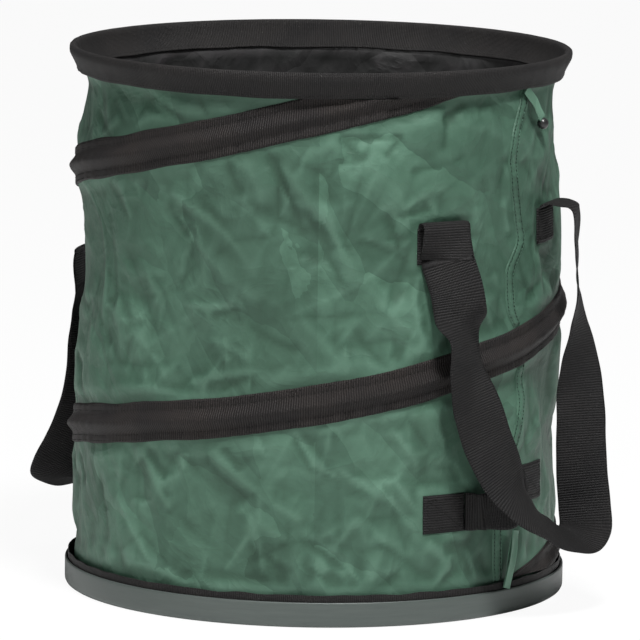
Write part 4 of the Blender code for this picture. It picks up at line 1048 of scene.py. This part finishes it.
def make_rim():
    """The binding folded over the rim wire, pinched under it and rolled out at the top."""
    profile = np.array([
        (2318, 4947), (2333, 5000), (2357, 5050), (2382, 5095), (2396, 5125), (2399, 5155), (2394, 5180),
        (2381, 5193), (2364, 5194), (2341, 5188), (2328, 5172), (2321, 5140), (2305, 5085), (2280, 5030),
        (2254, 4985), (2232, 4952), (2221, 4940), (2228, 4932), (2245, 4948), (2268, 4985), (2290, 5030),
        (2318, 5085), (2338, 5140), (2352, 5176), (2370, 5182), (2384, 5160), (2385, 5125), (2371, 5095),
        (2345, 5052), (2321, 5002), (2308, 4951),
    ]) / TENTHS

    def wobble(points, angle, shape):
        free = smooth_step(shape[..., 1], 0.519, 0.500)
        drop = (0.0005 * waves(angle, 31, 9, 3, 26) - 0.0002) * free
        swell = 0.00035 * waves(angle, 32, 10, 8, 60) * np.ones_like(drop)
        points[..., :2] *= 1 + (swell * 0.6 / 0.235)[..., None]
        points[..., 2] += drop
        return points

    band_piece = lathe("rim_binding", profile, BINDING, 360, wobble)
    angle = np.arange(0, 360.1, 0.5)
    rows = []
    for radius, level in ((0.2324, 0.4968), (0.2243, 0.4966)):
        drop = 0.0005 * waves(angle, 31, 9, 3, 26) * 0.9
        side = 1 if radius > 0.227 else -1
        swell = 1 + 0.00035 * waves(angle, 32, 10, 8, 60) * 0.6 / 0.235
        rows.append((place(angle, (radius + side * 0.0001) * swell, level + drop), outward(angle) * side))
    thread = stitches("rim_stitches", rows, THREAD, pitch=0.0042)
    for piece in (band_piece, thread):
        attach(piece, "rim")
    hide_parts("rim_band")


def make_base():
    """The base binding, the pan under it and the cloth floor inside."""
    hem = np.array([
        (2374, 68), (2374, 310), (2363, 310), (2363, 78), (2293, 78), (2293, 219), (2283, 219), (2283, 68),
    ]) / TENTHS

    def hem_wobble(points, angle, shape):
        free = smooth_step(shape[..., 1], 0.018, 0.031)
        points[..., 2] += (0.0006 * waves(angle, 41, 9, 6, 50) - 0.0004) * free
        points[..., :2] *= 1 - (0.0005 * free * (0.6 + 0.4 * waves(angle, 42, 9, 6, 50)) / 0.235)[..., None]
        return points

    hem_piece = lathe("base_binding", rounded(hem, 0.0004, 2), BINDING, 300, hem_wobble)
    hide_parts("base_hem")

    pan = np.array([
        (0, 0), (895, 0), (905, 3), (928, 35), (940, 40), (2215, 40), (2227, 34), (2250, 4), (2262, 0),
        (2355, 0), (2374, 4), (2390, 14), (2398, 30), (2400, 50), (2400, 205), (2400, 228), (2397, 236),
        (2391, 240), (2384, 240), (2379, 236), (2378, 228), (2378, 72), (2376, 63), (2370, 62), (945, 62),
        (924, 58), (895, 26), (885, 22), (0, 22),
    ]) / TENTHS
    pan_piece = lathe("base_tray", pan, PAN, 300, closed=False)
    weld(pan_piece)
    rivet_holes(pan_piece)
    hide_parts("base_pan")

    angle, r = np.meshgrid(np.arange(120) * 3.0, np.linspace(0.004, FLOOR_RADIUS, 44), indexing="ij")
    x, y = r * np.sin(np.radians(angle)), -r * np.cos(np.radians(angle))
    swells = np.sin(x * 41 + 2 * np.sin(y * 23)) * np.sin(y * 37 + 1.3 * np.sin(x * 31))
    bumpy = 0.0008 * (swells + 1) * smooth_step(0.228 - r, 0, 0.03)
    for k in range(RIVETS):
        spot = place(360.0 / RIVETS * k, RIVET_CIRCLE, 0.0)
        bumpy = bumpy * smooth_step(np.hypot(x - spot[0], y - spot[1]), 0.008, 0.026)
    points = np.stack([x, y, 0.0068 + 0.0008 + bumpy], -1)
    uv = np.stack([x, y], -1)
    uv = np.concatenate([uv, uv[:1]])
    floor_cloth = from_grid("floor_cloth", points, uv, LINING, closed_u=True, flip=True)
    close_holes(floor_cloth)
    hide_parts("floor_panel")
    for piece in (hem_piece, pan_piece, floor_cloth):
        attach(piece, "base")


def weld(made):
    """Joins corners that fall together, and keeps sharp edges sharp."""
    bm = opened(made)
    bmesh.ops.remove_doubles(bm, verts=bm.verts, dist=1e-6)
    bmesh.ops.recalc_face_normals(bm, faces=bm.faces)
    written(bm, made)
    made.data.set_sharp_from_angle(angle=math.radians(50))


def rivet_holes(made):
    """Holes in the pan for the rivets' shanks."""
    bm = bmesh.new()
    for k in range(RIVETS):
        spot = Matrix.Translation(Vector(place(360.0 / RIVETS * k, RIVET_CIRCLE, 0.005)))
        bmesh.ops.create_cone(
            bm, cap_ends=True, segments=20, radius1=0.0023, radius2=0.0023, depth=0.03, matrix=spot
        )
    cutter = show("hole_cutter", mesh_of("hole_cutter", bm))
    boolean = made.modifiers.new("holes", "BOOLEAN")
    boolean.operation = "DIFFERENCE"
    boolean.solver = "EXACT"
    boolean.object = cutter
    graph = bpy.context.evaluated_depsgraph_get()
    cut = bpy.data.meshes.new_from_object(made.evaluated_get(graph))
    made.modifiers.clear()
    made.data = cut
    bpy.data.objects.remove(cutter, do_unlink=True)


def patch_piece(name, first, second, low, high):
    """A rectangle of webbing sewn flat on the cloth, its edges rounded and slightly raised."""
    p, z = np.meshgrid(np.linspace(first, second, 25), np.linspace(low, high, 17), indexing="ij")
    u = (p - first) / (second - first) * 2 - 1
    v = (z - low) / (high - low) * 2 - 1
    brim = np.sqrt(np.clip(1 - np.maximum(np.abs(u), np.abs(v)) ** 18, 0.1, 1))
    radius = wall_radius(p, z)
    top = place(p, radius + GAP + WEBBING * brim + 0.0002 * np.sin(u * 9) * np.sin(v * 7), z)
    bottom = place(p, radius + GAP * 0.4, z)
    uv = np.stack([z, np.radians(p) * RIDGE_RADIUS], -1)
    front = from_grid(name, top, uv, STRAP)
    back = from_grid(name + "_back", bottom, uv, STRAP, flip=True)
    made = join(name, [front, back])
    bm = opened(made)
    bmesh.ops.bridge_loops(bm, edges=open_edges(bm))
    bmesh.ops.recalc_face_normals(bm, faces=bm.faces)
    written(bm, made)
    return made


def box_cross(name, first, second, low, high):
    """Sewing on a patch, in a box with a cross in it."""
    inset, lift = 0.0045, GAP + WEBBING + 0.0002
    turn = math.degrees(inset / RIDGE_RADIUS)
    a, b, c, d = first + turn, second - turn, low + inset, high - inset
    sides = ((a, c), (b, c)), ((b, c), (b, d)), ((b, d), (a, d)), ((a, d), (a, c))
    rows = []
    for (pa, za), (pb, zb) in (*sides, ((a, c), (b, d)), ((b, c), (a, d))):
        phi, z = np.linspace(pa, pb, 16), np.linspace(za, zb, 16)
        rows.append((place(phi, wall_radius(phi, z) + lift, z), outward(phi)))
    return stitches(name, rows, THREAD, pitch=0.0034, length=0.0025, radius=0.0004)


# The hanging strap in thousandths: share of the half span, share of the stand-off, share of the
# hang, then the webbing's width direction as shares along the chord, outwards and upwards
STRAP_ROUTE = (
    (-930, 310, 95, 640, 770, 0), (-890, 360, 175, 700, 700, 0), (-855, 385, 240, 1000, -50, 0),
    (-830, 410, 310, 1000, -120, 0), (-800, 430, 385, 970, 50, 50), (-710, 500, 490, 880, 400, 100),
    (-600, 600, 600, 850, 450, 220), (-470, 740, 705, 800, 200, 450), (-300, 860, 800, 500, -350, 700),
    (-30, 980, 880, 150, -700, 700), (280, 1050, 935, 0, -800, 600), (560, 1100, 962, -150, -900, 400),
)
REAR_LEG = {
    "right": (
        (760, 1080, 935, -500, -860, 100), (840, 980, 865, -660, -720, 0), (840, 920, 770, -740, -600, 0),
        (830, 880, 640, -820, -520, 0), (840, 840, 500, -880, -420, 0), (850, 800, 380, -980, -100, 0),
        (850, 770, 260, -930, 320, 0), (850, 740, 130, -790, 610, 0),
    ),
    "left": (
        (830, 1180, 940, -450, -880, 100), (950, 1020, 880, -600, -800, 0), (970, 780, 780, -720, -680, 0),
        (970, 540, 640, -850, -500, 0), (960, 400, 480, -950, -300, 0), (940, 380, 320, -990, -120, 0),
        (920, 460, 150, -1000, 200, 0),
    ),
}
FRONT_ARCH = ((0.0, 0.0), (0.08, 0.62), (0.30, 0.95), (0.55, 1.0), (0.85, 0.65), (1.0, 0.0))
REAR_ARCH = ((0.0, 0.0), (0.06, 0.70), (0.24, 1.0), (0.55, 1.0), (0.84, 0.55), (0.97, -0.30), (1.0, 0.0))
ARCHES = {"front": (0.0055, FRONT_ARCH), "rear": (0.0045, REAR_ARCH)}
PIVOT, TAIL = 0.371, 0.028
HANDLE_MIDDLE, HALF_SPAN = 50.5, 20.4

# A handle's turn, drop, hang and stand-off; where its ends come down, and how far they have twisted
HANDLES = {"right": (0.0, 0.0, 0.285, 0.045), "left": (LEFT_TURN, LEFT_DROP, 0.212, 0.0535)}
END_REACH = {"front": 0.0118, "rear": 0.0300}
EARLY_TWIST = {"front": 0.0, "rear": 0.75}
TOGGLE_SLANT, TOGGLE_SWAY, TOGGLE_SAG = 4.5, 0.014, 0.005
LOOP_SLANT = {"right": 4.0, "left": 0.0}


def make_handle(side):
    """Two sewn patches, the webbing folded over each of them, and the strap that hangs between."""
    turn, drop, hang, stand = HANDLES[side]
    middle = HANDLE_MIDDLE + turn
    along, out = sideways(middle), outward(middle)
    anchor, root, strap_body = f"{side}_handle_anchor", f"{side}_handle_root", f"{side}_handle"
    ends = {}
    for label, reach in END_REACH.items():
        angle, low, high = HANDLE_PATCHES[side, label]
        base = wall_radius(angle, high) + GAP + WEBBING / 2 + 0.0003
        ends[label] = place(angle, base + reach, PIVOT - drop) + out * WEBBING / 2
    chord = unit(ends["rear"] - ends["front"])
    leg_side = {"front": chord * 0.64 + out * 0.77, "rear": chord * 0.78 - out * 0.62}
    tops = {}
    for label, (arch, shares) in ARCHES.items():
        angle, low, high = HANDLE_PATCHES[side, label]
        first, second = angle - HALF_PATCH, angle + HALF_PATCH
        name = f"{side}_handle_patch_{label}"
        patch = patch_piece(f"{name}_sewn", first, second, low, high)
        thread = box_cross(f"{name}_stitches", first, second, low, high)
        for piece in (patch, thread):
            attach(piece, anchor)
        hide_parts(f"{side}_handle_patch_{label}")
        start = place(angle, wall_radius(angle, high) + GAP + WEBBING / 2 + 0.0004, high + 0.0002)
        end = ends[label] - out * WEBBING / 2
        tangent = sideways(angle)
        rows = []
        for out_share, rise_share in shares:
            point = start + (end - start) * out_share
            point[2] = start[2] + arch * rise_share
            mix = EARLY_TWIST[label] * smooth_step(out_share, 0.4, 1.0)
            rows.append(np.concatenate([point, tangent * (1 - mix) + leg_side[label] * mix]))
        rows[-1][:3] = end
        for fall, share in ((0.010, 0.15), (0.020, 0.45), (TAIL, 1.0)):
            mix = EARLY_TWIST[label] + (1 - EARLY_TWIST[label]) * share
            point = end - np.array([0, 0, fall])
            rows.append(np.concatenate([point, tangent * (1 - mix) + leg_side[label] * mix]))
        name = f"{side}_handle_fold_{label}"
        upper = band(name, rows, HANDLE_WIDTH, STRAP, 0.0016, start=(0, 0, 1), end=(0, 0, -1), seed=3)
        tops[label] = rows[-1]
        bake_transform(upper)
        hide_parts(f"{side}_handle_turn_{label}", f"{side}_handle_tail_{label}")
    top = PIVOT - drop - TAIL
    rows = [np.concatenate([tops["front"][:3], leg_side["front"]])]
    for span, off, fall, x, y, z in np.array(STRAP_ROUTE + REAR_LEG[side]) / 1000:
        point = place(middle + span * HALF_SPAN, RIDGE_RADIUS + off * stand, top - fall * hang)
        rows.append(np.concatenate([point, along * x + out * y + np.array([0, 0, z])]))
    rows.append(np.concatenate([tops["rear"][:3], -leg_side["rear"]]))
    name = f"{side}_handle_webbing"
    strap = band(name, rows, HANDLE_WIDTH, STRAP, 0.0024, start=(0, 0, -1), end=(0, 0, 1), cup=0.0006, seed=9)
    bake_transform(strap)
    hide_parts(f"{side}_handle_strap")


def make_grip(side):
    """Two sewn patches, the short ends that leave them, and the grip's strap between."""
    turn, drop = (0.0, 0.0) if side == "right" else (LEFT_TURN, LEFT_GRIP_DROP)
    ends_body, grip_body = f"{side}_grip_ends", f"{side}_grip"
    stops = {}
    for label, middle, end_angle, index in (
        ("front", 0.102 - drop, 40.6 + turn, 1), ("rear", 0.118 - drop, 55.4 + turn, 0)
    ):
        first, second, low, high = GRIP_PATCHES[side, label]
        name = f"{side}_grip_patch_{label}"
        patch = patch_piece(f"{name}_sewn", first, second, low, high)
        thread = box_cross(f"{name}_stitches", first, second, low, high)
        for piece in (patch, thread):
            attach(piece, ends_body)
        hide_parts(f"{side}_grip_patch_{label}")
        edge = (first, second)[index]
        start = place(edge, wall_radius(edge, middle) + GAP + WEBBING / 2 + 0.0006, middle)
        stops[label] = (edge, start, place(end_angle, RIDGE_RADIUS + 0.0100, middle))
    chord = unit(stops["rear"][2] - stops["front"][2])
    up = np.array([0.0, 0.0, 1.0])
    upright = unit(up - chord * chord[2])
    for label, way in (("front", 1), ("rear", -1)):
        edge, start, end = stops[label]
        leave = sideways(edge) * way
        first = start + leave * 0.0002
        shares = ((0, 0, up), (0.35, 0.0006, up), (0.7, 0.0004, upright))
        rows = [np.concatenate([first + (end - first) * share + leave * off, d]) for share, off, d in shares]
        rows.append(np.concatenate([end, upright]))
        name = f"{side}_grip_end_{label}_webbing"
        piece = band(name, rows, GRIP_WIDTH, STRAP, 0.0018, start=leave, end=chord * way, seed=4)
        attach(piece, ends_body)
        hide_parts(f"{side}_grip_end_{label}")
    rows = []
    bulge = outward(48 + turn)
    for t in np.linspace(0, 1, 13):
        rise = math.sin(math.pi * t) ** 2
        point = stops["front"][2] * (1 - t) + stops["rear"][2] * t + bulge * 0.009 * rise - up * 0.008 * rise
        rows.append(np.concatenate([point, upright]))
    name = f"{side}_grip_webbing"
    piece = band(name, rows, GRIP_WIDTH, STRAP, 0.0018, start=chord, end=chord, cup=0.0005, seed=6)
    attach(piece, grip_body)
    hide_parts(f"{side}_grip_strap")


def make_toggle(side, angle):
    """A folded green strip under the rim that ends in a black ball."""
    ball_low, ball_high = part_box(f"{side}_toggle_ball")
    ball_middle = (np.array(ball_low) + np.array(ball_high)) / 2
    top = place(angle - TOGGLE_SLANT, 0.2312, RIM_BOTTOM - 0.0004)
    ball_middle += sideways(angle) * TOGGLE_SWAY - np.array([0, 0, TOGGLE_SAG])
    end = ball_middle + np.array([0, 0, 0.0045])
    tangent = sideways(angle) + np.array([0, 0, 0.7])
    rows = []
    for t in np.linspace(0, 1, 7):
        point = top * (1 - t) + end * t + outward(angle) * 0.0010 * math.sin(math.pi * t)
        rows.append(np.concatenate([point, tangent]))
    strip = band(f"{side}_toggle_loop", rows, RIBBON_WIDTH, RIBBON, 0.0010, thick=0.0014, seed=5)
    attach(strip, f"{side}_toggle")
    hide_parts(f"{side}_toggle_strip")
    radius = (ball_high[2] - ball_low[2]) / 2
    arc = np.linspace(0.12, math.pi - 0.12, 22)
    outside = [(radius * math.sin(t), radius * math.cos(t)) for t in arc]
    profile = np.array(outside + [(0.0010, -radius * 0.90), (0.0010, radius * 0.90)])
    spin = np.arange(28) * 360 / 28
    points = place(spin[:, None], profile[None, :, 0], profile[None, :, 1]) + ball_middle
    uv = np.zeros((29, len(profile) + 1, 2))
    ball = from_grid(f"{side}_toggle_bead", points, uv, BALL, closed_u=True, closed_v=True)
    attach(ball, f"{side}_toggle")
    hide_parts(f"{side}_toggle_ball")


def make_loop(side, angle):
    """A green ribbon folded double, standing up from the hem."""
    fold, height, base = 0.0515, 0.055, 0.2378
    outline = [(0.0006 + 0.0002 * math.sin(7 * t), t * fold) for t in np.linspace(0, 1, 9)]
    for t in np.linspace(0.15, 0.85, 5):
        outline.append((0.0012 - 0.0006 * math.cos(math.pi * t), fold + 0.0026 * math.sin(math.pi * t)))
    outline += [(0.0018 + 0.0005 * math.sin(5 * t), t * fold) for t in np.linspace(1, 0, 9)]
    rows = []
    tangent = sideways(angle)
    for out, rise in outline:
        lean = 0.0020 * rise / height
        slant = angle - LOOP_SLANT[side] * (1 - rise / height)
        point = place(slant, base + out - lean, 0.0246 + rise)
        rows.append(np.concatenate([point, tangent - np.array([0, 0, 0.20])]))
    ribbon = band(f"{side}_base_ribbon", rows, RIBBON_WIDTH, RIBBON, 0.0010, thick=0.0006, seed=8)
    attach(ribbon, f"{side}_loop")
    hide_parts(f"{side}_base_loop")


def finish_nodes():
    """Materials for the frame's own pieces that still show or lie inside."""
    for name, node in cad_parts.items():
        material = STEEL
        if "pan" in name:
            material = PAN
        elif "handle" in name or "grip" in name:
            material = STRAP
        elif "wall" in name or "panel" in name or "loop" in name or "strip" in name:
            material = GREEN
        elif "hem" in name or "band" in name or "casing" in name:
            material = TAPE
        elif "ball" in name:
            material = BALL
        node.data.materials.clear()
        node.data.materials.append(material)


def white_floor():
    bm = bmesh.new()
    bmesh.ops.create_grid(bm, x_segments=8, y_segments=8, size=6.0)
    mesh = mesh_of("ground", bm)
    floor = show("ground", mesh)
    floor.location = (0, 0, -0.0002)
    material, tree, shader = material_of("White ground")
    set_values(shader, {"Base Color": (0.92, 0.92, 0.92, 1.0), "Roughness": 0.9})
    glow = add(tree, "ShaderNodeEmission", {"Color": (1.0, 1.0, 1.0, 1.0), "Strength": 1.0})
    path = add(tree, "ShaderNodeLightPath")
    share = add(tree, "ShaderNodeMath", {1: 0.94}, operation="MULTIPLY")
    mix = add(tree, "ShaderNodeMixShader")
    link(tree, path, "Is Camera Ray", share, 0)
    link(tree, share, 0, mix, 0)
    link(tree, shader, 0, mix, 1)
    link(tree, glow, 0, mix, 2)
    link(tree, mix, 0, tree.nodes["Material Output"], "Surface")
    mesh.materials.append(material)


def lamp(name, place_, target, size, power, colour=(1.0, 1.0, 1.0)):
    data = bpy.data.lights.new(name, "AREA")
    data.shape = "RECTANGLE"
    data.size, data.size_y = size
    data.energy = power
    data.color = colour
    made = show(name, data)
    made.location = place_
    way = Vector(target) - Vector(place_)
    made.rotation_euler = way.to_track_quat("-Z", "Y").to_euler()


def light_it():
    world = bpy.data.worlds.new("Studio")
    bpy.context.scene.world = world
    world.use_nodes = True
    tree = world.node_tree
    shade = tree.nodes["Background"]
    shade.inputs["Color"].default_value = (1.0, 1.0, 1.0, 1.0)
    path = add(tree, "ShaderNodeLightPath")
    seen = add(tree, "ShaderNodeMath", operation="MAXIMUM")
    link(tree, path, "Is Camera Ray", seen, 0)
    link(tree, path, "Is Transmission Ray", seen, 1)
    strength = add(tree, "ShaderNodeMapRange", {"To Min": 0.17, "To Max": 1.0})
    link(tree, seen, 0, strength, "Value")
    link(tree, strength, 0, shade, "Strength")
    lamp("key", (0.45, -1.40, 2.9), (0, 0, 0.25), (0.6, 0.6), 132)
    lamp("fill", (-1.8, -2.3, 1.0), (0, 0, 0.25), (1.0, 1.0), 17)
    lamp("top", (0.3, 0.5, 2.6), (0, 0, 0.3), (1.0, 1.0), 8)


def aim_camera():
    """The photograph's own view: a long lens from the front, slightly above."""
    lift, roll, distance, focal = 0.148003, 0.014441, 6.5, 6773.3
    target = Vector((0, 0, 0.26))
    forward = Vector((0, math.cos(lift), -math.sin(lift)))
    right, up = Vector((1, 0, 0)), Vector((0, math.sin(lift), math.cos(lift)))
    x = right * math.cos(roll) + up * math.sin(roll)
    y = up * math.cos(roll) - right * math.sin(roll)
    data = bpy.data.cameras.new("camera")
    data.sensor_width = 36.0
    data.sensor_fit = "HORIZONTAL"
    data.lens = focal * 36.0 / 640.0
    data.shift_x = 2.68 / 640.0
    data.shift_y = -5.93 / 640.0
    data.clip_end = 60.0
    made = show("camera", data)
    turn = Matrix((x, y, -forward)).transposed().to_4x4()
    made.matrix_world = Matrix.Translation(target - forward * distance) @ turn
    bpy.context.scene.camera = made


def main():
    aim_camera()
    finish_nodes()
    make_cloth()
    make_seam("right_side_seam", 52.4)
    make_seam("left_side_seam", 232.4)
    make_tape()
    make_wires()
    make_rim()
    make_base()
    for side in ("right", "left"):
        make_handle(side)
        make_grip(side)
    make_toggle("right", 61.0)
    make_toggle("left", 234.0)
    make_loop("right", 53.5)
    make_loop("left", 231.0)
    white_floor()
    light_it()
    bpy.context.scene.view_settings.view_transform = "Standard"


main()
